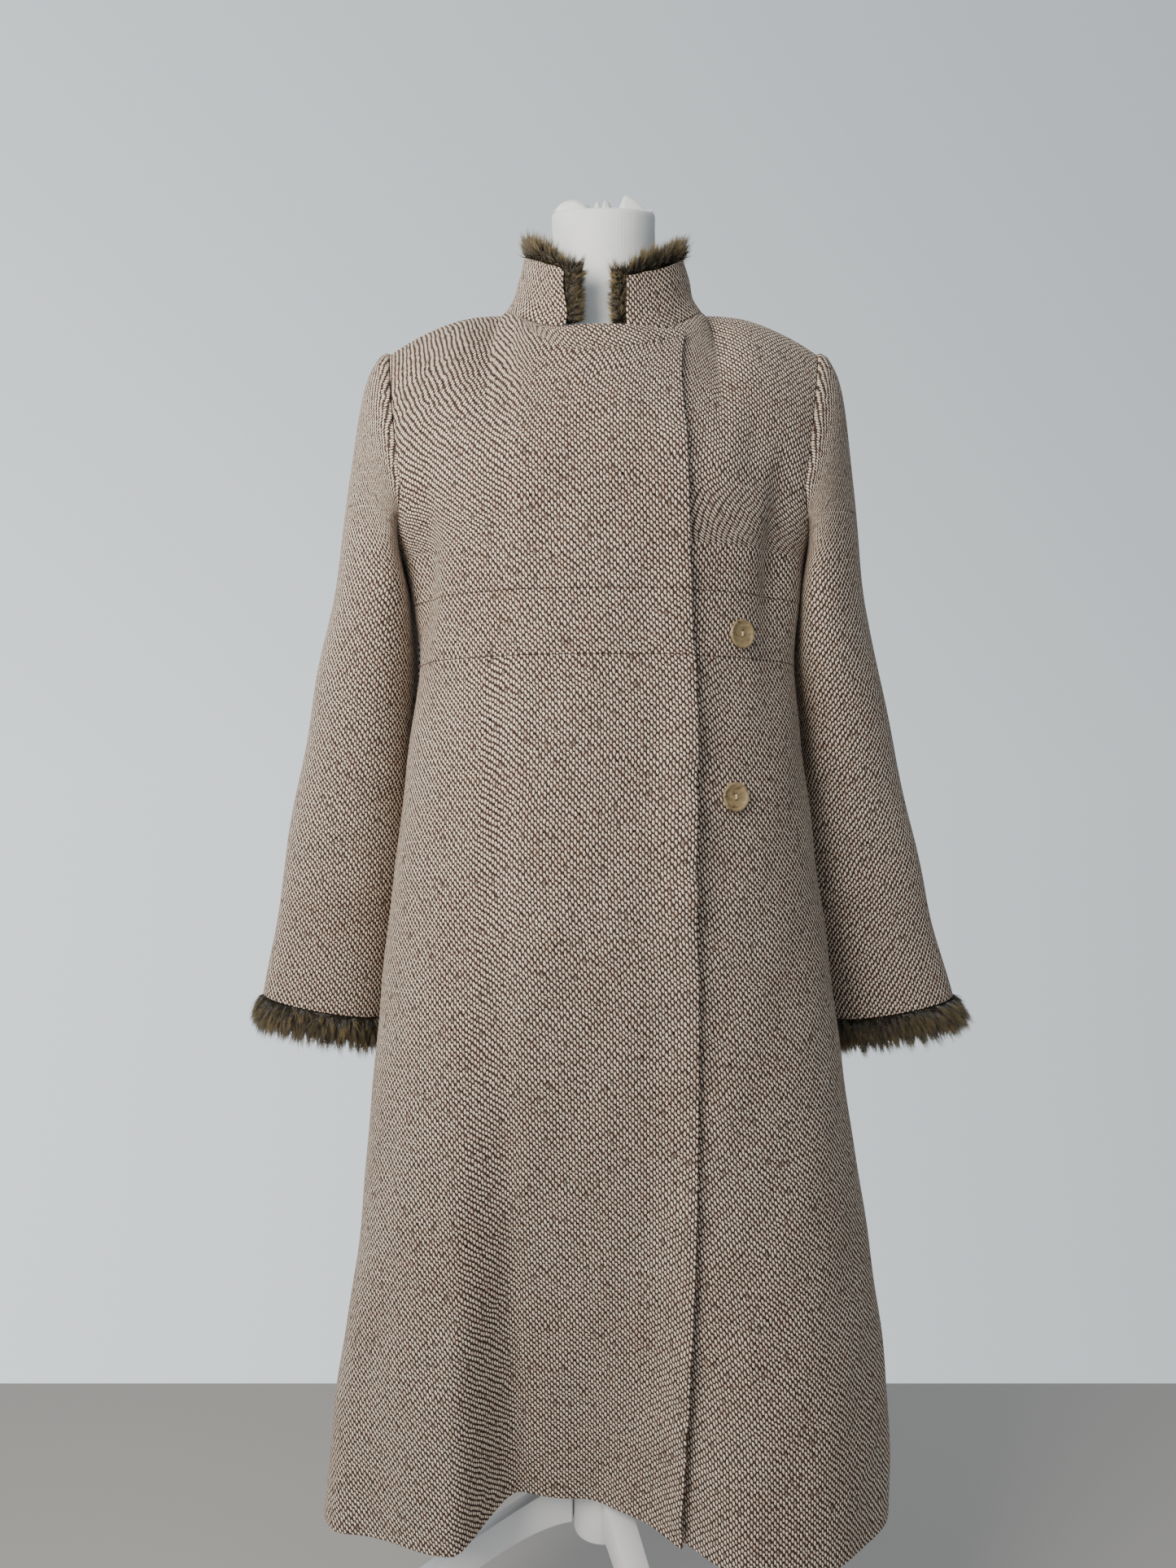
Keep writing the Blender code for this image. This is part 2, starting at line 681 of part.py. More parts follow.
def collar_normal(turn, height):
    """Outward unit normal of the collar."""
    step = 0.0015
    around = collar_point(turn + step, height) - collar_point(turn - step, height)
    low, high = max(height - 0.01, 0.0), min(height + 0.01, 1.4)
    along = collar_point(turn, high) - collar_point(turn, low)
    return around.cross(along).normalized()


def collar_shift(turn):
    """The wearer's right half stands on the lapped right front and moves out with it."""
    if turn <= 0.75:
        return Vector((0.0, 0.0, 0.0))
    u = (turn - 1.0) * 4 * NECK_SHARE
    below = bodice_point(-1, u, 3.0)
    return normal_of(bodice_point, -1, u, 3.0, 0.0, 3.0) * lap_lift(below.x)


def collar_turns():
    """Turns of the collar's columns, each over a column of the piece below it."""
    left = [u for u in lap_columns(bodice_point, 3.0, 1) if u < NECK_SHARE - 1e-6]
    left = [u for u in left if bodice_point(-1, u, 3.0).x > COLLAR_EDGE_LEFT - 1e-4]
    right = [u for u in lap_columns(bodice_point, 3.0, -1) if u > 1e-6 - NECK_SHARE]
    right = [u for u in right if bodice_point(-1, u, 3.0).x < COLLAR_EDGE_RIGHT + 1e-4]
    turns = [u / NECK_SHARE / 4 for u in left]
    turns += [0.5 - u / NECK_SHARE / 4 for u in reversed(BACK_COLUMNS) if abs(u) <= NECK_SHARE + 1e-6]
    return turns + [1 + u / NECK_SHARE / 4 for u in right]


def build_collar():
    """Stand collar, open at the front."""
    outer, inner = [], []
    for height in COLLAR_LEVELS + (1.0,):
        outer_row, inner_row = [], []
        for turn in collar_turns():
            spot = collar_point(turn, height) + collar_shift(turn)
            outer_row.append(spot)
            inner_row.append(spot - collar_normal(turn, height) * CLOTH)
        outer.append(outer_row)
        inner.append(inner_row)
    wall("collar", outer, inner)


def build_collar_fur():
    """Fur facing inside the collar, standing past its top and front edges."""
    past = math.asin(FUR_PAST_EDGE / FUR_TURN_RADIUS) / (2 * math.pi)
    cloth_turns = collar_turns()
    left_end, right_end = cloth_turns[0], cloth_turns[-1]
    turns = [left_end - past * share for share in (1.0, 0.85, 0.5, 0.03)]
    turns += cloth_turns[1:-1]
    turns += [right_end + past * share for share in (0.03, 0.5, 0.85, 1.0)]
    outer, inner = [], []
    for level in COLLAR_LEVELS[1:] + (1.01, 1.30, 1.60, 1.85, 2.00):
        outer_row, inner_row = [], []
        for turn in turns:
            beyond = max(left_end - turn, turn - right_end, 0.0) / past
            to_end = min(turn - turns[0], turns[-1] - turn) / past
            reach = FUR_ABOVE / COLLAR_HEIGHT * lerp(FUR_FRONT_SHARE, 1.0, ease(to_end / 3.0))
            above = max(level - 1.01, 0.0)
            height = min(level, 1.01) + reach * above
            spill = FUR_SPILL * max(ease(above * 2.2), ease((beyond - 0.03) * 2.2))
            tip = max(ease((above - 0.55) / 0.45), ease((beyond - 0.6) / 0.4))
            spot = collar_point(turn, height) + collar_shift(turn)
            normal = collar_normal(turn, height)
            level_out = Vector((normal.x, normal.y, 0.0))
            face = (CLOTH + SEAM) / level_out.length
            level_out.normalize()
            outer_row.append(spot + level_out * (spill - face - FUR_TIP_OUT * tip))
            inner_row.append(spot - level_out * (face + FUR_THICK - FUR_TIP_IN * tip))
        outer.append(outer_row)
        inner.append(inner_row)
    wall("collar_fur", outer, inner, "fur")


def front_place(point, x, z, levels):
    """u and v of the left front at a given x and height."""
    u, v = 0.3, 0.5
    for _ in range(6):
        v = solve(lambda level: point(-1, u, level).z, z, levels[0], levels[1])
        u = solve(lambda share: point(-1, share, v).x, x, 0.0, 0.95)
    return u, v


def build_button(name, point, x, z):
    """Two hole button with a raised rim, lying on the left front."""
    u, v = front_place(point, x, z, (0.0, 1.0))
    normal = normal_of(point, -1, u, v, 0.0, 1.0)
    seat = point(-1, u, v) + normal * 0.0007 + CENTRE
    profile = (
        (0.0, 0.0), (BUTTON_RADIUS * 0.80, 0.0), (BUTTON_RADIUS, 0.0014),
        (BUTTON_RADIUS, 0.0030), (BUTTON_RADIUS * 0.93, BUTTON_THICK),
        (BUTTON_RADIUS * 0.80, BUTTON_THICK), (BUTTON_RADIUS * 0.70, 0.0032), (0.0, 0.0028),
    )
    data = bmesh.new()
    points = [data.verts.new((radius, 0.0, height)) for radius, height in profile]
    edges = [data.edges.new(pair) for pair in zip(points, points[1:])]
    bmesh.ops.spin(
        data, geom=points + edges, cent=(0, 0, 0), axis=(0, 0, 1),
        angle=2 * math.pi, steps=18, use_duplicate=False,
    )
    bmesh.ops.remove_doubles(data, verts=data.verts[:], dist=1e-6)
    bmesh.ops.recalc_face_normals(data, faces=data.faces[:])
    button = make_object(name, data, "horn")
    button.location = seat
    button.rotation_mode = "QUATERNION"
    button.rotation_quaternion = normal.to_track_quat("Z", "X")
    for sign in (-1, 1):
        drill_data = bmesh.new()
        bmesh.ops.create_cone(
            drill_data, cap_ends=True, segments=8, radius1=BUTTON_HOLE, radius2=BUTTON_HOLE, depth=0.02,
        )
        drill = make_object(f"{name}_drill_{'a' if sign < 0 else 'b'}", drill_data, "horn")
        drill.parent = button
        drill.location = (sign * 0.0024, 0.0, 0.0)
        drill.hide_render = True
        drill.display_type = "WIRE"
        cut = button.modifiers.new("Hole", "BOOLEAN")
        cut.operation = "DIFFERENCE"
        cut.object = drill
        cut.solver = "EXACT"


def form_ring(side, u, z):
    """Half ring of the dress form at height z, flat at its sides."""
    x, y = oval(side, u, FORM_SIDE_SWEEP, read_rows(FORM_SECTIONS, z))
    return Vector((x, y, z))


def form_yoke(side, u, t):
    """Dress form from the chest line up, drawing close under the coat at the shoulders."""
    inset = lerp(FORM_CHEST_INSET, CLOTH + FORM_CLEAR, ease(t * 1.3))
    inset += FORM_CORNER_INSET * max(1 - abs(abs(u) - NECK_SHARE) / FORM_CORNER_REACH, 0.0)
    return bodice_point(side, u, 2.0 + t) - normal_of(bodice_point, side, u, 2.0 + t, 0.0, 3.0) * inset


def build_form_body():
    """Torso, shoulders and neck of the dress form in one closed body."""
    data = bmesh.new()
    rings = []
    for z in spread(FORM_FOOT, UNDERARM, 7):
        rings.append([form_ring(-1, u, z) for u in BACK_COLUMNS] + [form_ring(1, -u, z) for u in BACK_COLUMNS])
    for t in [level - 2.0 for level in ARM_LEVELS if level >= 2.0]:
        rings.append([form_yoke(-1, u, t) for u in BACK_COLUMNS] + [form_yoke(1, -u, t) for u in BACK_COLUMNS])
    grid = [[data.verts.new(point + CENTRE) for point in ring] for ring in rings]
    count = len(grid[0])
    for low, high in zip(grid, grid[1:]):
        for j in range(count):
            k = (j + 1) % count
            data.faces.new((low[j], low[k], high[k], high[j]))
    data.faces.new(list(reversed(grid[0])))
    half = len(BACK_COLUMNS)
    middle = [j for j, u in enumerate(BACK_COLUMNS) if abs(u) <= NECK_SHARE + 1e-9]
    loop = [j for j in middle] + [half + j for j in middle]
    neck = build_neck_rings(data, [grid[-1][j] for j in loop])
    data.faces.new(neck)
    bmesh.ops.remove_doubles(data, verts=data.verts[:], dist=SEAM * 1.5)
    bmesh.ops.triangulate(data, faces=data.faces[:])
    make_object("form_body", data, "jersey")


def neck_top(y):
    """Height of the neck's top, which tips forward."""
    return FORM_NECK_TOP + FORM_NECK_TILT * y


def build_neck_rings(data, loop):
    """Neck from the shoulder loop up to its rounded top; gives the last ring."""
    bases = [vertex.co - CENTRE for vertex in loop]
    previous = loop
    fillet = ((0.35, 0.001), (0.65, 0.004), (0.85, 0.011), (1.0, 0.026))
    rim = ((1.0, 0.008), (0.985, 0.003), (0.93, 0.0))
    rings = []
    for share, rise in fillet:
        ring = []
        for base in bases:
            flat = Vector((base.x, base.y, 0.0))
            on_neck = flat.normalized() * FORM_NECK_RADIUS
            spot = flat.lerp(on_neck, share)
            spot.z = base.z + rise
            ring.append(spot)
        rings.append(ring)
    for scale, drop in rim:
        ring = []
        for base in bases:
            on_neck = Vector((base.x, base.y, 0.0)).normalized() * FORM_NECK_RADIUS * scale
            on_neck.z = neck_top(on_neck.y) - drop
            ring.append(on_neck)
        rings.append(ring)
    for ring in rings:
        verts = [data.verts.new(point + CENTRE) for point in ring]
        for j in range(len(verts)):
            k = (j + 1) % len(verts)
            data.faces.new((previous[j], previous[k], verts[k], verts[j]))
        previous = verts
    return previous


# Gathered ends of the form's cover, tied on top of its neck
Lobe = namedtuple("Lobe", "x y left right reach_y height swell")
LOBES = (
    Lobe(-0.030, -0.004, 0.0190, 0.0180, 0.016, 0.0125, 2.0),
    Lobe(-0.002, 0.000, 0.0085, 0.0085, 0.010, 0.0125, 2.0),
    Lobe(0.0220, 0.004, 0.0075, 0.0240, 0.014, 0.0190, 1.15),
)
TIE_STATIONS = (
    -0.0500, -0.0470, -0.0415, -0.0355, -0.0300, -0.0245, -0.0190, -0.0145, -0.0115, -0.0085,
    -0.0045, 0.0005, 0.0045, 0.0085, 0.0150, 0.0180, 0.0220, 0.0290, 0.0370, 0.0440, 0.0500,
)


def build_neck_tie():
    """Low tuft of gathered cloth on the neck's top."""
    outer, inner = [], []
    for y in spread(-TIE_HALF_DEPTH, TIE_HALF_DEPTH, 7):
        outer_row, inner_row = [], []
        for x in TIE_STATIONS:
            rise = TIE_THIN
            for lobe in LOBES:
                reach = lobe.left if x < lobe.x else lobe.right
                away = min(math.hypot((x - lobe.x) / reach, (y - lobe.y) / lobe.reach_y), 1.0)
                rise = max(rise, lobe.height * (1 - away ** lobe.swell) ** (1 / lobe.swell))
            across = y * (1 - TIE_TAPER * (x / TIE_REACH) ** 2)
            floor = neck_top(across) + SEAM
            outer_row.append(Vector((x, across, floor + rise)))
            inner_row.append(Vector((x, across, floor)))
        outer.append(outer_row)
        inner.append(inner_row)
    wall("form_neck_tie", outer, inner, "jersey")


def turned(name, radius, low, high, finish, segments):
    """Round post with softened edges."""
    data = bmesh.new()
    bmesh.ops.create_cone(
        data, cap_ends=True, segments=segments, radius1=radius, radius2=radius, depth=high - low,
    )
    bmesh.ops.translate(data, verts=data.verts[:], vec=Vector((0, 0, (low + high) / 2)) + CENTRE)
    item = make_object(name, data, finish)
    soften = item.modifiers.new("Edge", "BEVEL")
    soften.width = min(radius * 0.15, 0.003)
    soften.segments = 2
    return item


def bezier(a, b, c, count):
    """Points of a quadratic curve in the leg's plane."""
    return [
        tuple(lerp(lerp(a[i], b[i], t), lerp(b[i], c[i], t), t) for i in range(2))
        for t in spread(0.0, 1.0, count)
    ]


def leg_outline():
    """Side outline of a leg: distance from the pole and height."""
    inner = HUB_RADIUS + SEAM
    upper = bezier((inner, 0.276), (0.120, 0.222), (0.298, 0.066), 12)
    toe = [(0.309, 0.050), (0.313, 0.030), (0.313, 0.006), (0.308, 0.0)]
    heel = [(0.272, 0.0), (0.266, 0.006), (0.264, 0.030)]
    lower = bezier((0.256, 0.052), (0.100, 0.215), (inner, 0.232), 12)
    return upper + toe + heel + lower


def build_leg(name, azimuth):
    """Sawn plank leg, standing on its flat foot."""
    direction = Vector((math.cos(math.radians(azimuth)), math.sin(math.radians(azimuth)), 0.0))
    across = Vector((-direction.y, direction.x, 0.0)) * (LEG_THICK / 2)
    data = bmesh.new()
    near = [data.verts.new(direction * r + Vector((0, 0, z)) - across + CENTRE) for r, z in leg_outline()]
    far = [data.verts.new(direction * r + Vector((0, 0, z)) + across + CENTRE) for r, z in leg_outline()]
    data.faces.new(near)
    data.faces.new(list(reversed(far)))
    for j in range(len(near)):
        k = (j + 1) % len(near)
        data.faces.new((near[k], near[j], far[j], far[k]))
    bmesh.ops.recalc_face_normals(data, faces=data.faces[:])
    bmesh.ops.triangulate(data, faces=data.faces[:])
    make_object(name, data, "white_wood")


def build_stand():
    """Pole, hub and three legs."""
    turned("form_pole", POLE_RADIUS, HUB_TOP + SEAM, FORM_FOOT - SEAM, "steel", 24)
    turned("form_hub", HUB_RADIUS, HUB_FOOT, HUB_TOP, "white_wood", 32)
    for name, azimuth in zip(("form_leg_front", "form_leg_rear", "form_leg_right"), LEG_AZIMUTHS):
        build_leg(name, azimuth)


def make_materials():
    """One plain finish for each kind of surface."""
    materials = {}
    for name, finish in FINISHES.items():
        material = bpy.data.materials.new(name)
        material.use_nodes = True
        shader = material.node_tree.nodes["Principled BSDF"]
        shader.inputs["Base Color"].default_value = (*finish.colour, 1.0)
        shader.inputs["Roughness"].default_value = finish.roughness
        shader.inputs["Metallic"].default_value = finish.metallic
        materials[name] = material
    return materials


for leftover in list(bpy.data.objects):
    bpy.data.objects.remove(leftover, do_unlink=True)

MATERIALS = make_materials()
build_fronts()
build_back()
build_sleeve("right_sleeve", RIGHT_SLEEVE, -1)
build_sleeve("left_sleeve", LEFT_SLEEVE, 1)
build_collar()
build_collar_fur()
build_cuff_fur("right_cuff_fur", RIGHT_SLEEVE, -1)
build_cuff_fur("left_cuff_fur", LEFT_SLEEVE, 1)
build_button("upper_button", band_point, 0.1252, 1.1188)
build_button("lower_button", skirt_point, 0.1179, 0.9680)
build_form_body()
build_neck_tie()
build_stand()
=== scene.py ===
"""Looks of a wool coat worn on a limbless dress form.

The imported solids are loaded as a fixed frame. Each class builds one sub-assembly in the same
metres and the same frame: the front faces -Y and the wearer's left is +X.
"""
import logging
import math
from collections.abc import Callable, Sequence
from dataclasses import dataclass
from enum import Enum
from functools import partial

import bmesh
import bpy
import numpy as np
from bpy.types import Material, Mesh, Node, NodeSocket, NodeTree, Object
from mathutils import Matrix, Vector


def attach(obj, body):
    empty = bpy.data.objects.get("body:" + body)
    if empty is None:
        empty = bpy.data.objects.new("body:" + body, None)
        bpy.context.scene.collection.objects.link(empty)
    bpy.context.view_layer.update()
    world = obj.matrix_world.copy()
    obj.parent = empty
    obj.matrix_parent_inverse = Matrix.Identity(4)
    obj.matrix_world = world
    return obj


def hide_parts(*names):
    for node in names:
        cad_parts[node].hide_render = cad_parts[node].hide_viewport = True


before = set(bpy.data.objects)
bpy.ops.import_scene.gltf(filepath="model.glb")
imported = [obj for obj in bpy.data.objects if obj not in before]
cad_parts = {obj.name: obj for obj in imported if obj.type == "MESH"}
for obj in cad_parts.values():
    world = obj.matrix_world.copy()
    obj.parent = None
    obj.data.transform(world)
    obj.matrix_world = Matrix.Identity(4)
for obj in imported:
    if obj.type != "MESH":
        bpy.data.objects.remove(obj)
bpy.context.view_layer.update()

LOG = logging.getLogger("coat")
Array = np.ndarray
Colour = tuple[float, float, float]
Place = tuple[float, float]
SurfacePoint = Callable[[Array, Array], Array]

CENTRE = np.array((-0.0068, 0.0250, 0.0))
QUARTER = math.pi / 2


class Side(Enum):
    """The two halves of the coat in plan."""

    FRONT = -1
    BACK = 1


class Hand(Enum):
    """Which sleeve, as the wearer has it."""

    RIGHT = -1
    LEFT = 1


@dataclass(frozen=True)
class CoatSizes:
    """Driving sizes of the coat, the same as the solids have."""

    cloth: float = 0.003
    seam: float = 0.0004
    lap: float = 0.0038
    band_top: float = 1.157
    band_foot: float = 1.097
    underarm: float = 1.200
    chest: float = 1.270
    hem: float = 0.250
    hem_lift: float = 0.30
    shoulder_x: float = 0.216
    neck_x: float = 0.100
    neck_front: float = 0.090
    neck_back: float = 0.078
    neck_side_z: float = 1.4565
    neck_front_z: float = 1.412
    neck_back_z: float = 1.475
    neck_flat: float = 0.24
    neck_share: float = 0.45
    shoulder_slope: float = 0.0227
    shoulder_curve: float = 2.79
    body_power: float = 2.2
    arm_sweep: float = math.radians(60.0)
    collar_height: float = 0.058
    collar_edge_right: float = -0.0369
    collar_edge_left: float = 0.0214
    underlap_x: float = -0.070
    neck_band_x: float = -0.090
    neck_band_run: float = 0.022
    neck_band_low: Place = (-0.020, 1.383)
    neck_band_reach: Place = (0.076, 0.093)
    neck_band_rise: Place = (0.067, 0.022)
    yoke_pull: float = 1.05
    neck_pull_middle: float = 0.045
    neck_pull_side: float = 0.040
    neck_pull_rise: float = 0.100
    seam_pull: float = 1.25
    seam_lead: float = 0.10
    seam_run: float = 0.32
    slope_step: float = 0.002
    lift_lead: float = 0.026
    lift_run: float = 0.022
    fold_fade: float = 0.045


# z, half width right and left, depth front and back
BODY_SECTIONS = np.array((
    (0.230, 0.283, 0.287, 0.133, 0.202),
    (0.370, 0.269, 0.285, 0.139, 0.188),
    (0.535, 0.247, 0.265, 0.145, 0.170),
    (0.700, 0.232, 0.241, 0.149, 0.152),
    (0.867, 0.214, 0.218, 0.148, 0.137),
    (1.033, 0.194, 0.198, 0.142, 0.122),
    (1.097, 0.188, 0.190, 0.138, 0.115),
    (1.157, 0.192, 0.194, 0.138, 0.113),
    (1.200, 0.198, 0.197, 0.140, 0.116),
    (1.235, 0.212, 0.209, 0.140, 0.119),
    (1.270, 0.222, 0.218, 0.138, 0.120),
    (1.305, 0.225, 0.222, 0.135, 0.120),
))

# side, centre, depth, reach right and left, flat, starts, power
FOLDS = (
    (-1, -0.048, 0.097, 0.066, 0.170, 0.030, 0.84, 1.25),
    (-1, -0.170, 0.020, 0.110, 0.110, 0.030, 0.80, 1.10),
    (-1, 0.190, -0.010, 0.080, 0.080, 0.010, 0.80, 1.20),
    (1, -0.130, 0.030, 0.075, 0.070, 0.008, 0.95, 1.20),
    (1, 0.015, 0.036, 0.070, 0.075, 0.010, 0.98, 1.20),
    (1, 0.150, 0.028, 0.070, 0.075, 0.006, 0.92, 1.20),
)

# z, x of the right front's free edge
FRONT_EDGE = np.array((
    (0.230, 0.073), (0.480, 0.083), (0.760, 0.083), (0.900, 0.078),
    (1.050, 0.080), (1.180, 0.075), (1.412, 0.073),
))

# z, how far the free edge stands off the left front
EDGE_LIFT = np.array((
    (0.230, 0.0050), (0.420, 0.0080), (0.560, 0.0065), (0.700, 0.0050), (0.800, 0.0070),
    (0.930, 0.0120), (1.010, 0.0095), (1.110, 0.0055), (1.240, 0.0050), (1.340, 0.0028), (1.412, 0.0006),
))

# z, x, y, half width, half depth, tip, lean
RIGHT_SLEEVE = np.array((
    (0.746, 0.2960, 0.060, 0.0650, 0.050, 0.19, 0.00),
    (0.820, 0.2830, 0.058, 0.0640, 0.055, 0.17, 0.00),
    (0.880, 0.2720, 0.055, 0.0655, 0.060, 0.14, 0.02),
    (0.950, 0.2640, 0.050, 0.0620, 0.066, 0.11, 0.08),
    (1.030, 0.2523, 0.040, 0.0557, 0.073, 0.07, 0.15),
    (1.100, 0.2440, 0.028, 0.0500, 0.080, 0.03, 0.22),
    (1.160, 0.2375, 0.020, 0.0415, 0.084, 0.00, 0.25),
))
LEFT_SLEEVE = np.array((
    (0.744, 0.3065, 0.060, 0.0655, 0.050, 0.19, 0.00),
    (0.820, 0.2878, 0.058, 0.0623, 0.055, 0.17, 0.00),
    (0.880, 0.2738, 0.055, 0.0633, 0.060, 0.14, 0.02),
    (0.950, 0.2625, 0.050, 0.0565, 0.066, 0.11, 0.08),
    (1.030, 0.2512, 0.040, 0.0498, 0.073, 0.07, 0.15),
    (1.100, 0.2395, 0.028, 0.0430, 0.080, 0.03, 0.22),
    (1.160, 0.2335, 0.020, 0.0360, 0.084, 0.00, 0.25),
))

# height share, half width, depth front and back
COLLAR_SECTIONS = np.array((
    (0.00, 0.1000, 0.0900, 0.078),
    (0.25, 0.0910, 0.0880, 0.075),
    (0.55, 0.0870, 0.0860, 0.073),
    (0.80, 0.0830, 0.0845, 0.071),
    (1.00, 0.0800, 0.0835, 0.070),
    (1.40, 0.0790, 0.0830, 0.070),
))

# The dress form below the underarm, in the same columns as the body's
FORM_SECTIONS = np.array((
    (0.860, 0.160, 0.160, 0.100, 0.104),
    (0.930, 0.170, 0.170, 0.108, 0.110),
    (1.020, 0.158, 0.158, 0.102, 0.098),
    (1.100, 0.140, 0.140, 0.094, 0.086),
    (1.200, 0.165, 0.165, 0.113, 0.094),
))

# Soft upright valleys of the front bodice: x, z, depth, half width, half height
DRAPES = (
    (-0.173, 1.190, 0.0100, 0.014, 0.100),
    (-0.146, 1.290, 0.0030, 0.016, 0.055),
    (0.163, 1.200, 0.0100, 0.014, 0.100),
    (0.142, 1.310, 0.0034, 0.015, 0.050),
)

# Sleeve creases: hand, z, phase, depth, half height, half phase, slope
CREASES = (
    (-1, 0.965, 0.36, 0.0040, 0.012, 0.070, -0.30),
    (-1, 0.900, 0.20, 0.0018, 0.015, 0.090, 0.25),
    (-1, 0.835, 0.33, 0.0030, 0.014, 0.070, -0.35),
    (1, 0.975, 0.36, 0.0038, 0.012, 0.070, -0.30),
    (1, 0.900, 0.22, 0.0020, 0.016, 0.090, 0.25),
    (1, 0.840, 0.34, 0.0026, 0.014, 0.070, -0.35),
)

# Steps in from a soft edge, where its columns or rows lie
EDGE_STEPS = (0.0, 0.0003, 0.0008, 0.0015, 0.0030)


def srgb(red: int, green: int, blue: int) -> Colour:
    """Linear colour of the screen values 0 to 255."""
    return tuple(
        c / 12.92 if c <= 0.04045 else ((c + 0.055) / 1.055) ** 2.4
        for c in (red / 255, green / 255, blue / 255)
    )


def blend_colours(a: Colour, b: Colour, t: float) -> Colour:
    """Blend of two plain colours."""
    return tuple(x + (y - x) * t for x, y in zip(a, b))


def lerp(a: Array, b: Array, t: Array) -> Array:
    """Straight blend from a to b."""
    return a + (b - a) * t


def ease(t: Array) -> Array:
    """Smooth step from 0 to 1, held outside that range."""
    t = np.clip(t, 0.0, 1.0)
    return t * t * (3.0 - 2.0 * t)


def hill(away: Array) -> Array:
    """Bell of height 1 at 0."""
    return np.exp(-away * away)


def unit(vectors: Array) -> Array:
    """Vectors of length one."""
    return vectors / np.maximum(np.linalg.norm(vectors, axis=-1, keepdims=True), 1e-12)


def stack(x: Array, y: Array, z: Array) -> Array:
    """Points from their three coordinates."""
    return np.stack(np.broadcast_arrays(x, y, z), axis=-1)


def read_rows(table: Array, z: Array) -> Array:
    """Smooth values of a table at heights z.

    Args:
        table: Rows whose first column is the height.
        z: Heights, of any shape.

    Returns:
        The other columns, along a new last axis.
    """
    knots, values = table[:, 0], table[:, 1:]
    z = np.clip(z, knots[0], knots[-1])
    k = np.clip(np.searchsorted(knots, z, side="left") - 1, 0, len(knots) - 2)
    before, after = np.maximum(k - 1, 0), np.minimum(k + 2, len(knots) - 1)
    span = (knots[k + 1] - knots[k])[..., None]
    t = (z - knots[k])[..., None] / span
    a, b = values[k], values[k + 1]
    slope_a = (b - values[before]) / (knots[k + 1] - knots[before])[..., None] * span
    slope_b = (values[after] - a) / (knots[after] - knots[k])[..., None] * span
    return (
        a * (1 + 2 * t) * (1 - t) ** 2
        + slope_a * t * (1 - t) ** 2
        + b * t * t * (3 - 2 * t)
        + slope_b * t * t * (t - 1)
    )


def hermite(start: Array, start_pull: Array, end: Array, end_pull: Array, t: Array) -> Array:
    """Point of a cubic from start to end with the given pulls at its ends."""
    t = t[..., None]
    return (
        start * ((1 + 2 * t) * (1 - t) ** 2)
        + start_pull * (t * (1 - t) ** 2)
        + end * (t * t * (3 - 2 * t))
        + end_pull * (t * t * (t - 1))
    )


def solve(measure: Callable[[Array], Array], target: Array, low: Array, high: Array) -> Array:
    """Values between low and high where a rising measure reaches the target."""
    for _ in range(28):
        middle = 0.5 * (low + high)
        under = measure(middle) < target
        low, high = np.where(under, middle, low), np.where(under, high, middle)
    return 0.5 * (low + high)


def arc_lengths(points: Array, axis: int) -> Array:
    """Length run along an axis of a grid of points, from 0.

    Args:
        points: Grid of points.
        axis: Axis of the grid.

    Returns:
        A grid of lengths.
    """
    steps = np.linalg.norm(np.diff(points, axis=axis), axis=-1)
    start = np.zeros_like(np.take(steps, [0], axis=axis))
    return np.concatenate((start, np.cumsum(steps, axis=axis)), axis=axis)


def spaced(length: Array, count: int, first: bool, last: bool) -> Array:
    """Places along a length, closer together at its soft ends.

    Args:
        length: Lengths, one for each row.
        count: Even steps between the ends.
        first: Whether the start is a soft edge.
        last: Whether the end is a soft edge.

    Returns:
        One row of places for each length.
    """
    steps = np.array(EDGE_STEPS)
    low = steps[-1] if first else 0.0
    high = length - (steps[-1] if last else 0.0)
    share = np.linspace(0.0, 1.0, count + 1)
    places = low + (high - low)[:, None] * share
    if first:
        places = np.concatenate((np.tile(steps[:-1], (len(length), 1)), places), axis=1)
    if last:
        places = np.concatenate((places, length[:, None] - steps[:-1][::-1]), axis=1)
    return places


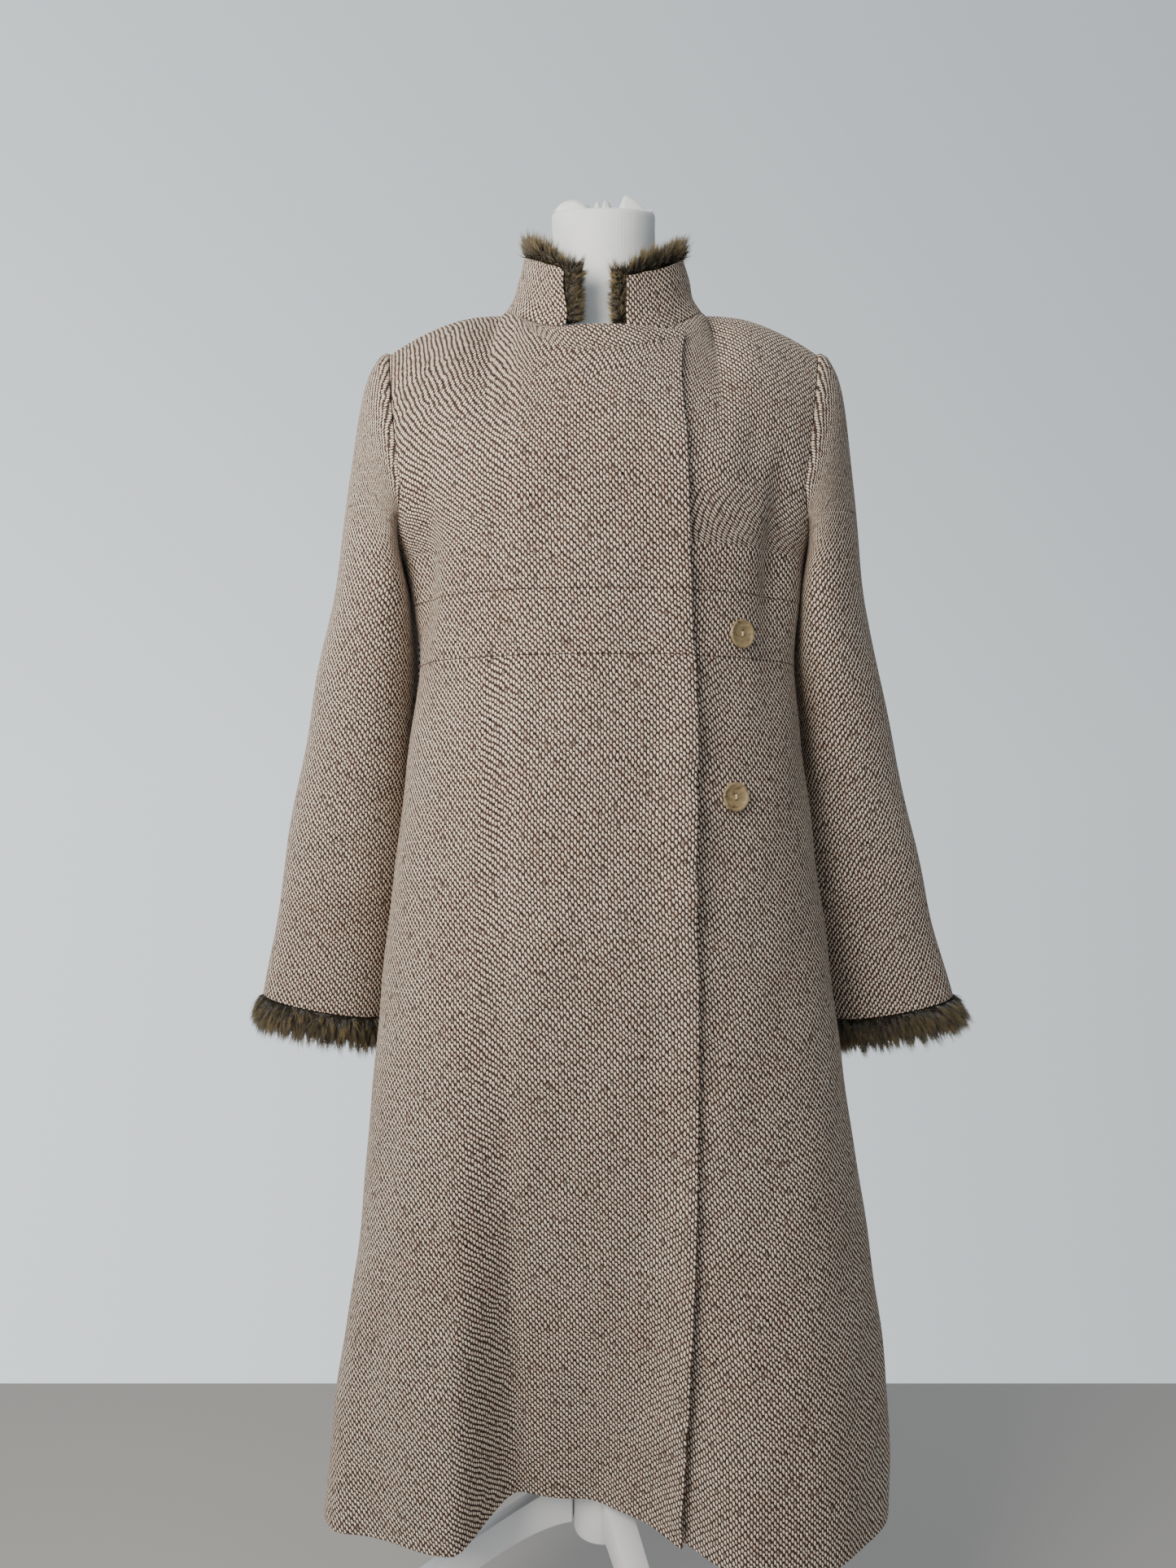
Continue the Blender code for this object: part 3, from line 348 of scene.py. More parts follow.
class CoatShape:
    """Outer face of the coat, as functions of a place (u, v) on each part."""

    def __init__(self, sizes: CoatSizes) -> None:
        """Keeps the sizes."""
        self.sizes = sizes

    def oval(self, side: Side, u: Array, sweep: Array, section: Array) -> tuple[Array, Array]:
        """Plan point of a half oval; u runs from -1, the wearer's right, to 1.

        Args:
            side: Front or back.
            u: Places across, -1 to 1.
            sweep: Angle that the ends of u reach.
            section: Half widths and depths, right, left, front, back.

        Returns:
            Its x and y.
        """
        right, left, front, back = np.moveaxis(section, -1, 0)
        angle = np.abs(u) * sweep
        power = 2 / self.sizes.body_power
        width = np.where(u < 0, right, left)
        depth = front if side is Side.FRONT else back
        x = np.copysign(width * np.sin(angle) ** power, u)
        ahead = depth * np.maximum(np.cos(angle), 0.0) ** power + self.sizes.seam / 2
        return x, side.value * ahead

    def fold_push(self, side: Side, x: Array, z: Array) -> Array:
        """How far the folds push the skirt inwards.

        Args:
            side: Front or back.
            x: Places towards the wearer's left.
            z: Heights.

        Returns:
            Distances.
        """
        total = np.zeros(np.broadcast(x, z).shape)
        for hand, centre, depth, reach_right, reach_left, flat, starts, power in FOLDS:
            if hand != side.value:
                continue
            growth = np.clip((starts - z) / (starts - self.sizes.hem), 0.0, None) ** power
            reach = np.where(x < centre, reach_right, reach_left)
            total = total + depth * growth * (1 - ease((np.abs(x - centre) - flat) / reach))
        return total

    def shell(self, side: Side, u: Array, z: Array, sweep: Array = QUARTER) -> Array:
        """Point of the outer face at height z, folds included.

        Args:
            side: Front or back.
            u: Places across, -1 to 1.
            z: Heights.
            sweep: Angle that the ends of u reach.

        Returns:
            Points.
        """
        u, z = np.broadcast_arrays(u, z)
        section = read_rows(BODY_SECTIONS, z)
        x, y = self.oval(side, u, sweep, section)
        from_seam = np.where(u < 0, section[..., 0], section[..., 1]) - np.abs(x)
        push = self.fold_push(side, x, z) * ease(from_seam / self.sizes.fold_fade)
        return stack(x, y - side.value * push, z)

    def skirt(self, side: Side, u: Array, v: Array) -> Array:
        """Skirt: v from 0 at the hem to 1 at the band.

        Args:
            side: Front or back.
            u: Places across, -1 to 1.
            v: Levels up the part.

        Returns:
            Points.
        """
        size = self.sizes
        hem_x = self.shell(side, u, np.full(np.shape(u), size.hem))[..., 0]
        rise = np.maximum(self.fold_push(side, hem_x, np.full(hem_x.shape, size.hem)), 0.0)
        foot = size.hem + size.hem_lift * rise
        return self.shell(side, u, lerp(foot, size.band_foot - size.seam / 2, v))

    def band(self, side: Side, u: Array, v: Array) -> Array:
        """Waistband under the bust: v from 0 at its foot to 1 at its top."""
        size = self.sizes
        return self.shell(side, u, lerp(size.band_foot + size.seam / 2, size.band_top - size.seam / 2, v))

    def neckline(self, side: Side, q: Array) -> Array:
        """Seam where the collar stands; q from -1, the wearer's right, to 1.

        Args:
            side: Front or back.
            q: Places round the neck, -1 to 1.

        Returns:
            Points.
        """
        size = self.sizes
        angle = q * QUARTER
        x = size.neck_x * np.sin(angle)
        if side is Side.FRONT:
            rise = ease((np.abs(q) - size.neck_flat) / (1 - size.neck_flat))
            z = lerp(size.neck_front_z, size.neck_side_z, rise)
            y = -size.neck_front * np.cos(angle)
        else:
            z = lerp(size.neck_side_z, size.neck_back_z, np.cos(angle) ** 2)
            y = size.neck_back * np.cos(angle)
        return stack(x, y + side.value * size.seam / 2, z)

    def top(self, side: Side, u: Array) -> Array:
        """Upper edge of a bodice: the neckline in the middle, then the shoulder seam.

        Args:
            side: Front or back.
            u: Places across, -1 to 1.

        Returns:
            Points.
        """
        size = self.sizes
        middle = self.neckline(side, np.clip(u / size.neck_share, -1.0, 1.0))
        reach = np.maximum((np.abs(u) - size.neck_share) / (1 - size.neck_share), 0.0)
        x = lerp(size.neck_x, size.shoulder_x, reach)
        run = x - size.neck_x
        z = size.neck_side_z - size.shoulder_slope * run - size.shoulder_curve * run * run
        shoulder = stack(np.copysign(x, u), side.value * size.seam / 2, z)
        return np.where((np.abs(u) <= size.neck_share)[..., None], middle, shoulder)

    def yoke(self, side: Side, u: Array, t: Array) -> Array:
        """From the chest line to the upper edge.

        Args:
            side: Front or back.
            u: Places across, -1 to 1.
            t: Share of the way up.

        Returns:
            Points.
        """
        size = self.sizes
        chest = np.full(np.shape(u), size.chest)
        start = self.shell(side, u, chest, size.arm_sweep)
        below = self.shell(side, u, chest - size.slope_step, size.arm_sweep)
        end = self.top(side, u)
        height = (end - start)[..., 2:3]
        start_pull = (start - below) / size.slope_step * (size.yoke_pull * height)
        round_neck = np.minimum(np.abs(u) / size.neck_share, 1.0)
        turn = round_neck * QUARTER
        inwards = lerp(size.neck_pull_middle, size.neck_pull_side, round_neck)
        neck_pull = stack(
            -np.copysign(inwards * np.sin(turn), u),
            -side.value * inwards * np.cos(turn),
            lerp(size.neck_pull_rise, 0.0, round_neck),
        )
        seam_pull = stack(0.0, -side.value * size.seam_pull * np.abs(start[..., 1]), 0.0)
        on_seam = ease((np.abs(u) - size.neck_share + size.seam_lead) / size.seam_run)[..., None]
        return hermite(start, start_pull, end, lerp(neck_pull, seam_pull, on_seam), t)

    def bodice(self, side: Side, u: Array, v: Array) -> Array:
        """Bodice: v 0 to 1 up to the underarm, 1 to 2 to the chest line, 2 to 3 to the top.

        Args:
            side: Front or back.
            u: Places across, -1 to 1.
            v: Levels up the part.

        Returns:
            Points.
        """
        size = self.sizes
        u, v = np.broadcast_arrays(u, v)
        low = self.shell(side, u, lerp(size.band_top + size.seam / 2, size.underarm, np.clip(v, 0.0, 1.0)))
        t = np.clip(v - 1.0, 0.0, 1.0)
        sweep = lerp(QUARTER, size.arm_sweep, 1 - (1 - t) ** 2)
        middle = self.shell(side, u, lerp(size.underarm, size.chest, t), sweep)
        high = self.yoke(side, u, np.clip(v - 2.0, 0.0, 1.2))
        at = v[..., None]
        return np.where(at <= 1.0, low, np.where(at <= 2.0, middle, high))

    def face(self, part: str, side: Side) -> SurfacePoint:
        """Face function of a part on one side."""
        return partial(getattr(self, part), side)

    def normal(self, point: SurfacePoint, side: Side, u: Array, v: Array, v_high: float) -> Array:
        """Outward unit normals of a face function.

        Args:
            point: The face function.
            side: Front or back.
            u: Places across, -1 to 1.
            v: Levels up the part.
            v_high: Highest level.

        Returns:
            Unit vectors.
        """
        step = 0.0008
        across = point(np.minimum(u + step, 1.0), v) - point(np.maximum(u - step, -1.0), v)
        along = point(u, np.minimum(v + step, v_high)) - point(u, np.maximum(v - step, 0.0))
        return unit(np.cross(across, along)) * -side.value

    def lap_lift(self, x: Array) -> Array:
        """How far the right front is moved out to pass over the left front."""
        size = self.sizes
        return size.lap * ease((x - size.underlap_x + size.lift_lead) / size.lift_run)

    def edge_x(self, z: Array) -> Array:
        """Where the right front's free edge runs."""
        return read_rows(FRONT_EDGE, z)[..., 0]

    def seam_level(self, u: Array, gap: float) -> Array:
        """Level of the neck band's lower seam at u, or the top edge where there is no band.

        Args:
            u: Places across, -1 to 1.
            gap: Height to end over the seam.

        Returns:
            Levels.
        """
        size = self.sizes
        (low_x, low_z), (reach_right, reach_left) = size.neck_band_low, size.neck_band_reach
        rise_right, rise_left = size.neck_band_rise

        def above_seam(v: Array) -> Array:
            """Height over the seam.

            Args:
                v: Levels up the part.

            Returns:
                Heights.
            """
            spot = self.bodice(Side.FRONT, u, v)
            x, z = spot[..., 0], spot[..., 2]
            right, left = (low_x - x) / reach_right, (x - low_x) / reach_left
            return z - low_z - np.where(x < low_x, rise_right * right ** 2, rise_left * left ** 2)

        level = solve(above_seam, gap, np.full(u.shape, 2.0), np.full(u.shape, 3.0))
        top_x = self.bodice(Side.FRONT, u, np.full(u.shape, 3.0))[..., 0]
        return lerp(3.0, level, ease((top_x - size.neck_band_x) / size.neck_band_run))

    def opening_level(self, u: Array) -> Array:
        """Level of the right front's flat opening edge at u.

        Args:
            u: Places across, -1 to 1.

        Returns:
            Levels.
        """
        goal = self.sizes.neck_front_z - 0.0001
        found = solve(
            lambda v: self.bodice(Side.FRONT, u, v)[..., 2], goal,
            np.full(u.shape, 2.0), np.full(u.shape, 3.0),
        )
        return np.where(u <= 0.0, 3.0, found)


def add_piece(name: str, mesh: Mesh, material: Material) -> Object:
    """Puts a finished mesh into the scene.

    Args:
        name: Name of the piece.
        mesh: Its mesh, in the shared frame.
        material: Its finish.

    Returns:
        The object, at the origin.
    """
    mesh.materials.clear()
    mesh.materials.append(material)
    return link_object(name, mesh)


def settle(item: Object, slot: str, *nodes: str) -> None:
    """Rides a piece on the part and hides the solids it stands for.

    Args:
        item: The piece.
        slot: Not used.
        nodes: The CAD nodes it replaces.
    """
    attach(item, "root")
    if nodes:
        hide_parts(*nodes)
    LOG.info("%s: %d faces", item.name, len(item.data.polygons))


def mesh_from(data: bmesh.types.BMesh, name: str, sharp: float = 0.0) -> Mesh:
    """Smooth mesh from built data, which is freed.

    Args:
        data: The built faces.
        name: Name of the mesh.
        sharp: Angle in degrees past which an edge stays sharp, or 0 for none.

    Returns:
        The mesh.
    """
    mesh = bpy.data.meshes.new(name)
    data.to_mesh(mesh)
    data.free()
    mesh.shade_smooth()
    if sharp:
        mesh.set_sharp_from_angle(angle=math.radians(sharp))
    return mesh


def link_object(name: str, data: bpy.types.ID) -> Object:
    """New object in the scene.

    Args:
        name: Name of the object.
        data: Its mesh, lamp or camera.

    Returns:
        The object.
    """
    item = bpy.data.objects.new(name, data)
    bpy.context.scene.collection.objects.link(item)
    return item


def turned(profile: Sequence[tuple[float, float]], steps: int) -> bmesh.types.BMesh:
    """Round solid about the upright axis.

    Args:
        profile: Radius and height of each corner, from axis to axis.
        steps: Flat faces round it.

    Returns:
        Its faces, turned outwards.
    """
    data = bmesh.new()
    points = [data.verts.new((r, 0.0, z)) for r, z in profile]
    edges = [data.edges.new(pair) for pair in zip(points, points[1:])]
    bmesh.ops.spin(
        data, geom=points + edges, cent=(0, 0, 0), axis=(0, 0, 1), angle=2 * math.pi, steps=steps,
        use_duplicate=False,
    )
    bmesh.ops.remove_doubles(data, verts=data.verts[:], dist=1e-6)
    bmesh.ops.recalc_face_normals(data, faces=data.faces[:])
    return data


def bridge(data: bmesh.types.BMesh, rings: Sequence[Sequence[bmesh.types.BMVert]]) -> None:
    """Joins closed rings of corners, each to the next."""
    for low, high in zip(rings, rings[1:]):
        for j, corner in enumerate(low):
            k = (j + 1) % len(low)
            data.faces.new((corner, low[k], high[k], high[j]))


def grid_quads(rows: int, columns: int, closed: bool, offset: int) -> Array:
    """Corner numbers of the quads of a grid, which may close on itself across.

    Args:
        rows: Points up.
        columns: Points across.
        closed: Whether it closes across.
        offset: Number of the first point.

    Returns:
        Four numbers for each quad.
    """
    steps = columns if closed else columns - 1
    i, j = np.meshgrid(np.arange(rows - 1), np.arange(steps), indexing="ij")
    k = (j + 1) % columns
    quads = np.stack((i * columns + j, i * columns + k, (i + 1) * columns + k, (i + 1) * columns + j), -1)
    return quads.reshape(-1, 4) + offset


class ClothWall:
    """Closed wall of cloth between an outer and an inner grid of points."""

    def __init__(self, name: str, outer: Array, inner: Array, weave: Array, closed: bool = False) -> None:
        """Keeps the grids.

        Args:
            name: Name of the piece.
            outer: Outer points, rows up and columns across.
            inner: Inner points.
            weave: Place on the cloth in metres, with one column more than the points if closed.
            closed: Whether the columns run all round.
        """
        self.name, self.outer, self.inner, self.weave, self.closed = name, outer, inner, weave, closed

    def strips(self, thick: float) -> tuple[Array, Array]:
        """Quads of the rims and their places on the cloth.

        Args:
            thick: Thickness of the cloth.

        Returns:
            The quads, and four places for each.
        """
        rows, columns = self.outer.shape[:2]
        back = rows * columns
        j = np.arange(columns if self.closed else columns - 1)
        k = (j + 1) % columns
        top = (rows - 1) * columns
        quads = [
            np.stack((j, back + j, back + k, k), -1),
            np.stack((top + j, top + k, back + top + k, back + top + j), -1),
        ]
        low, high, drop = self.weave[0], self.weave[-1], np.array((0.0, thick))
        places = [
            np.stack((low[:-1], low[:-1] - drop, low[1:] - drop, low[1:]), 1),
            np.stack((high[:-1], high[1:], high[1:] + drop, high[:-1] + drop), 1),
        ]
        if not self.closed:
            i = np.arange(rows - 1) * columns
            n = i + columns
            last = columns - 1
            quads += [
                np.stack((i, n, back + n, back + i), -1),
                np.stack((i + last, back + i + last, back + n + last, n + last), -1),
            ]
            first, end, over = self.weave[:, 0], self.weave[:, -1], np.array((thick, 0.0))
            places += [
                np.stack((first[:-1], first[1:], first[1:] - over, first[:-1] - over), 1),
                np.stack((end[:-1], end[:-1] + over, end[1:] + over, end[1:]), 1),
            ]
        return np.concatenate(quads), np.concatenate(places)

    def build(self, material: Material, thick: float = 0.003) -> Object:
        """Makes the mesh, facing outwards, with its place on the cloth as a UV map.

        Args:
            material: The finish.
            thick: Thickness of the cloth.

        Returns:
            The piece.
        """
        rows, columns = self.outer.shape[:2]
        front = grid_quads(rows, columns, self.closed, 0)
        behind = grid_quads(rows, columns, self.closed, rows * columns)[:, ::-1]
        rim, rim_places = self.strips(thick)
        w = self.weave
        corners = np.stack((w[:-1, :-1], w[:-1, 1:], w[1:, 1:], w[1:, :-1]), 2).reshape(-1, 4, 2)
        quads = np.concatenate((front, behind, rim))
        places = np.concatenate((corners, corners[:, ::-1], rim_places))
        points = np.concatenate((self.outer.reshape(-1, 3), self.inner.reshape(-1, 3))) + CENTRE
        a, b, c, d = (points[quads[:, n]] for n in range(4))
        volume = np.einsum("ij,ij->i", a, np.cross(b, c) + np.cross(c, d)).sum()
        if volume < 0:
            quads, places = quads[:, ::-1], places[:, ::-1]
        mesh = bpy.data.meshes.new(self.name)
        mesh.from_pydata(points.tolist(), [], quads.tolist())
        layer = mesh.uv_layers.new(name="Weave")
        layer.data.foreach_set("uv", places.reshape(-1).astype(np.float32))
        mesh.shade_smooth()
        return add_piece(self.name, mesh, material)

    def cut(self) -> tuple[float, float, float]:
        """Width, length and area of the cloth that shows.

        Returns:
            Metres and square metres.
        """
        points = self.outer
        if self.closed:
            points = np.concatenate((points, points[:, :1]), axis=1)
        width = float(arc_lengths(points, 1)[:, -1].max())
        length = float(arc_lengths(points, 0)[-1].max())
        a, b, c, d = points[:-1, :-1], points[:-1, 1:], points[1:, 1:], points[1:, :-1]
        area = 0.5 * np.linalg.norm(np.cross(c - a, d - b), axis=-1).sum()
        return width, length, float(area)


def hang_cloth(
    item: Object, wall: ClothWall, rests_on: Sequence[str], slot: str = "tweed",
) -> None:
    """Args:
        item: The piece.
        wall: Its wall.
        rests_on: Not used.
        slot: Name of its material slot.
    """
    settle(item, slot, wall.name)
    width, length, area = wall.cut()
    area = min(area, width * length)
    LOG.info("%s: cut %.3f x %.3f m, %.4f square metres", item.name, width, length, area)


@dataclass(frozen=True)
class SoftEdges:
    """Radius of each rounded edge of a panel, and which edges are free."""

    bottom: float = 0.0009
    top: float = 0.0009
    first: float = 0.0009
    last: float = 0.0009
    free_bottom: bool = False
    free_top: bool = False
    free_first: bool = False
    free_last: bool = False

    @staticmethod
    def droop(away: Array, radius: float) -> Array:
        """How far a rounded edge falls back at a distance from the rim."""
        inside = np.maximum(radius - away, 0.0)
        return radius - np.sqrt(np.maximum(radius * radius - inside * inside, 0.0))

    def falls(self, across: Array, along: Array) -> tuple[Array, Array]:
        """Fall of the outer and of the inner face.

        Args:
            across: Length run across the panel.
            along: Length run up the panel.

        Returns:
            Two grids of distances, both positive towards the wall's middle.
        """
        edges = (
            (along, self.bottom, self.free_bottom),
            (along[-1:] - along, self.top, self.free_top),
            (across, self.first, self.free_first),
            (across[:, -1:] - across, self.last, self.free_last),
        )
        outer = np.zeros_like(along)
        inner = np.zeros_like(along)
        for away, radius, free in edges:
            fall = self.droop(away, radius)
            outer = np.maximum(outer, fall)
            if free:
                inner = np.maximum(inner, fall)
        return outer, inner


# Radius of a free edge
FREE = 0.0015


@dataclass
class PanelPlan:
    """How one panel of the body is laid out."""

    name: str
    part: str
    side: Side
    knots: Callable[[Array], Array]
    counts: tuple[int, ...]
    levels: tuple[float, ...]
    row_counts: tuple[int, ...]
    edges: SoftEdges
    squeeze: Callable[[Array, Array], Array] | None = None
    lapped: bool = False
    hemmed: bool = False
    grain: float = 0.5


@dataclass
class CoatBody:
    """The coat's fronts and back: bodices, waistbands, skirts and the neck band."""

    shape: CoatShape
    cloth: Material
    hem_turn: float = 0.038
    hem_extra: float = 0.0018
    lift_reach: float = 0.050

    def reach_u(self, part: str, v: Array, x: Array) -> Array:
        """Places u on a front where it has the given x."""
        point = self.shape.face(part, Side.FRONT)
        return solve(lambda u: point(u, v)[..., 0], x, np.full(v.shape, -0.9), np.full(v.shape, 0.9))

    def free_u(self, part: str, v: Array) -> Array:
        """Places u of the right front's free edge."""
        middle = self.shape.face(part, Side.FRONT)(np.zeros(v.shape), v)
        return self.reach_u(part, v, self.shape.edge_x(middle[..., 2]))

    def lap_knots(self, part: str, v: Array) -> tuple[Array, Array]:
        """Where the left front starts and where the right front's free edge lies over it."""
        return self.reach_u(part, v, self.shape.sizes.underlap_x), self.free_u(part, v)

    def right_knots(self, part: str, v: Array) -> Array:
        """Column marks of a right front."""
        outer = np.full(v.shape, -1.0), np.full(v.shape, -self.shape.sizes.neck_share)
        return np.stack((*outer, *self.lap_knots(part, v)), 1)

    def left_knots(self, part: str, v: Array) -> Array:
        """Column marks of a left front."""
        outer = np.full(v.shape, self.shape.sizes.neck_share), np.full(v.shape, 1.0)
        return np.stack((*self.lap_knots(part, v), *outer), 1)

    def back_knots(self, v: Array) -> Array:
        """Column marks of a back."""
        share = self.shape.sizes.neck_share
        return np.tile(np.array((-1.0, -share, share, 1.0)), (len(v), 1))

    def neck_knots(self, v: Array) -> Array:
        """Column marks of the neck band.

        Args:
            v: Levels up the part.

        Returns:
            Places u, a row for each level.
        """
        top = np.full(v.shape, 3.0)
        start = self.reach_u("bodice", top, self.shape.sizes.neck_band_x + 0.004)
        return np.stack((start, np.zeros(v.shape), self.free_u("bodice", top)), 1)

    def rows(self, plan: PanelPlan) -> Array:
        """Levels of a panel's rows, evenly spaced along its middle.

        Args:
            plan: How the panel is laid out.

        Returns:
            Levels.
        """
        point = self.shape.face(plan.part, plan.side)
        out = []
        for n, count in enumerate(plan.row_counts):
            fine = np.linspace(plan.levels[n], plan.levels[n + 1], 81)
            middle = point(np.full(fine.shape, 0.3 * np.sign(plan.side.value)), fine)
            run = arc_lengths(middle[None], 1)
            last = n == len(plan.row_counts) - 1
            places = spaced(run[:, -1], count, n == 0, last)[0]
            found = np.interp(places, run[0], fine)
            out.append(found if last else found[:-1])
        return np.concatenate(out)

    def columns(self, plan: PanelPlan, v: Array) -> Array:
        """Places u of every column at each level.

        Args:
            plan: How the panel is laid out.
            v: Levels up the part.

        Returns:
            Places u, a row for each level.
        """
        point = self.shape.face(plan.part, plan.side)
        knots = plan.knots(v)
        out = []
        for n, count in enumerate(plan.counts):
            u = lerp(knots[:, n:n + 1], knots[:, n + 1:n + 2], np.linspace(0.0, 1.0, 33))
            run = arc_lengths(point(u, np.broadcast_to(v[:, None], u.shape)), 1)
            last = n == len(plan.counts) - 1
            places = spaced(run[:, -1], count, n == 0, last)
            found = np.stack([np.interp(places[r], run[r], u[r]) for r in range(len(v))])
            out.append(found if last else found[:, :-1])
        return np.concatenate(out, axis=1)

    def relief(self, side: Side, spot: Array) -> Array:
        """Soft unevenness of worn cloth, outwards.

        Args:
            side: Front or back.
            spot: Points of the face.

        Returns:
            Distances.
        """
        x, z = spot[..., 0], spot[..., 2]
        calm = ease((1.37 - z) / 0.08)
        low = ease((0.95 - z) / 0.55)
        turn = 0.6 * side.value
        wave = 0.0007 * np.sin(54 * x + 21 * z + 1.3 + turn) * np.sin(33 * z - 15 * x + turn)
        wave += 0.0004 * np.sin(118 * x - 43 * z + turn)
        wave += 0.0016 * low * np.sin(66 * x + 2.1 * np.sin(4.3 * z + turn) + turn)
        out = wave * calm
        if side is Side.FRONT:
            for drape_x, drape_z, depth, width, height in DRAPES:
                along = (z - drape_z) / height
                across = (x - drape_x - 0.06 * (z - drape_z)) / width
                out = out - depth * hill(across) * hill(along)
                out = out + 0.45 * depth * hill((across - np.sign(drape_x) * 2.0)) * hill(along)
        return out

    def build_panel(self, plan: PanelPlan) -> Object:
        """Args:
            plan: How the panel is laid out.

        Returns:
            The piece.
        """
        point = self.shape.face(plan.part, plan.side)
        rows = self.rows(plan)
        u = self.columns(plan, rows)
        v = np.broadcast_to(rows[:, None], u.shape)
        if plan.squeeze:
            v = plan.squeeze(u, v)
        spot = point(u, v)
        normal = self.shape.normal(point, plan.side, u, v, plan.levels[-1])
        across, along = arc_lengths(spot, 1), arc_lengths(spot, 0)
        lift = self.relief(plan.side, spot)
        if plan.lapped:
            lift = lift + self.shape.lap_lift(spot[..., 0])
            away = across[:, -1:] - across
            raised = read_rows(EDGE_LIFT, spot[..., 2])[..., 0]
            ripple = 0.0007 * np.sin(88 * spot[..., 2]) + 0.0005 * np.sin(151 * spot[..., 2] + 1)
            lift = lift + (raised + ripple * raised / 0.004) * (1 - ease(away / self.lift_reach)) ** 1.3
        fall_out, fall_in = plan.edges.falls(across, along)
        thick = np.full(lift.shape, self.shape.sizes.cloth)
        if plan.hemmed:
            thick = thick + self.hem_extra * ease((self.hem_turn - along) / 0.004)
        outer = spot + normal * (lift - fall_out)[..., None]
        inner = spot + normal * (lift - thick + fall_in)[..., None]
        middle = int(plan.grain * (across.shape[1] - 1))
        weave = np.stack((across - across[:, middle:middle + 1], along + spot[:1, :, 2].mean()), -1)
        wall = ClothWall(plan.name, outer, inner, weave)
        item = wall.build(self.cloth)
        hang_cloth(item, wall, ("form_body",))
        return item

    def squeeze_under_band(self, u: Array, v: Array) -> Array:
        """Levels of the right front bodice, ending under the neck band."""
        top = self.shape.seam_level(u, -self.shape.sizes.seam)
        return np.where(v <= 2.0, v, lerp(2.0, top, v - 2.0))

    def squeeze_in_band(self, u: Array, v: Array) -> Array:
        """Levels of the neck band, between its lower seam and the opening."""
        return lerp(self.shape.seam_level(u, 0.0), self.shape.opening_level(u), v / 3.0)

    def plans(self) -> list[PanelPlan]:
        """Every panel of the body.

        Returns:
            The panels' layouts.
        """
        soft = SoftEdges()
        right_free = SoftEdges(last=FREE, free_last=True)
        left_free = SoftEdges(first=FREE, free_first=True)
        right_hem = SoftEdges(bottom=FREE, last=FREE, free_bottom=True, free_last=True)
        left_hem = SoftEdges(bottom=FREE, first=FREE, free_bottom=True, free_first=True)
        back_hem = SoftEdges(bottom=FREE, free_bottom=True)
        fine = SoftEdges(top=0.0004, last=FREE, free_last=True)
        opening = SoftEdges(
            bottom=0.0004, top=FREE, first=0.0004, last=FREE, free_top=True, free_last=True,
        )
        front, back = Side.FRONT, Side.BACK
        tall, yoke = (0.0, 1.0), (0.0, 1.0, 3.0)
        left, right = {}, {}
        for part in ("bodice", "band", "skirt"):
            left[part] = (part, front, partial(self.left_knots, part))
            right[part] = (part, front, partial(self.right_knots, part))
        under_right = {"grain": 0.6}
        over_left = {"lapped": True, "grain": 1.0}
        neck, under_neck = {"squeeze": self.squeeze_in_band}, {"squeeze": self.squeeze_under_band}
        hem = {"hemmed": True}
        high, low, long = (8, 50), (10,), (130,)
        plan = PanelPlan
        return [
            plan("left_front_bodice", *left["bodice"], (26, 10, 26), yoke, high, left_free, **under_right),
            plan("left_front_band", *left["band"], (26, 10, 24), tall, low, left_free, **under_right),
            plan("left_front_skirt", *left["skirt"], (26, 14, 26), tall, long, left_hem, **hem,
                 **under_right),
            plan("right_front_bodice", *right["bodice"], (26, 12, 30), yoke, high, fine,
                 **under_neck, **over_left),
            plan("right_front_band", *right["band"], (24, 12, 30), tall, low, right_free, **over_left),
            plan("right_front_skirt", *right["skirt"], (28, 16, 36), tall, long, right_hem, **hem,
                 **over_left),
            plan("right_front_neck_band", "bodice", front, self.neck_knots, (26, 20), (0.0, 3.0), (8,),
                 opening, **neck, **over_left),
            plan("back_bodice", "bodice", back, self.back_knots, (24, 40, 24), yoke, high, soft),
            plan("back_band", "band", back, self.back_knots, (24, 30, 24), tall, low, soft),
            plan("back_skirt", "skirt", back, self.back_knots, (28, 44, 28), tall, long, back_hem, **hem),
        ]

    def build(self) -> None:
        """Builds all the panels."""
        for plan in self.plans():
            self.build_panel(plan)


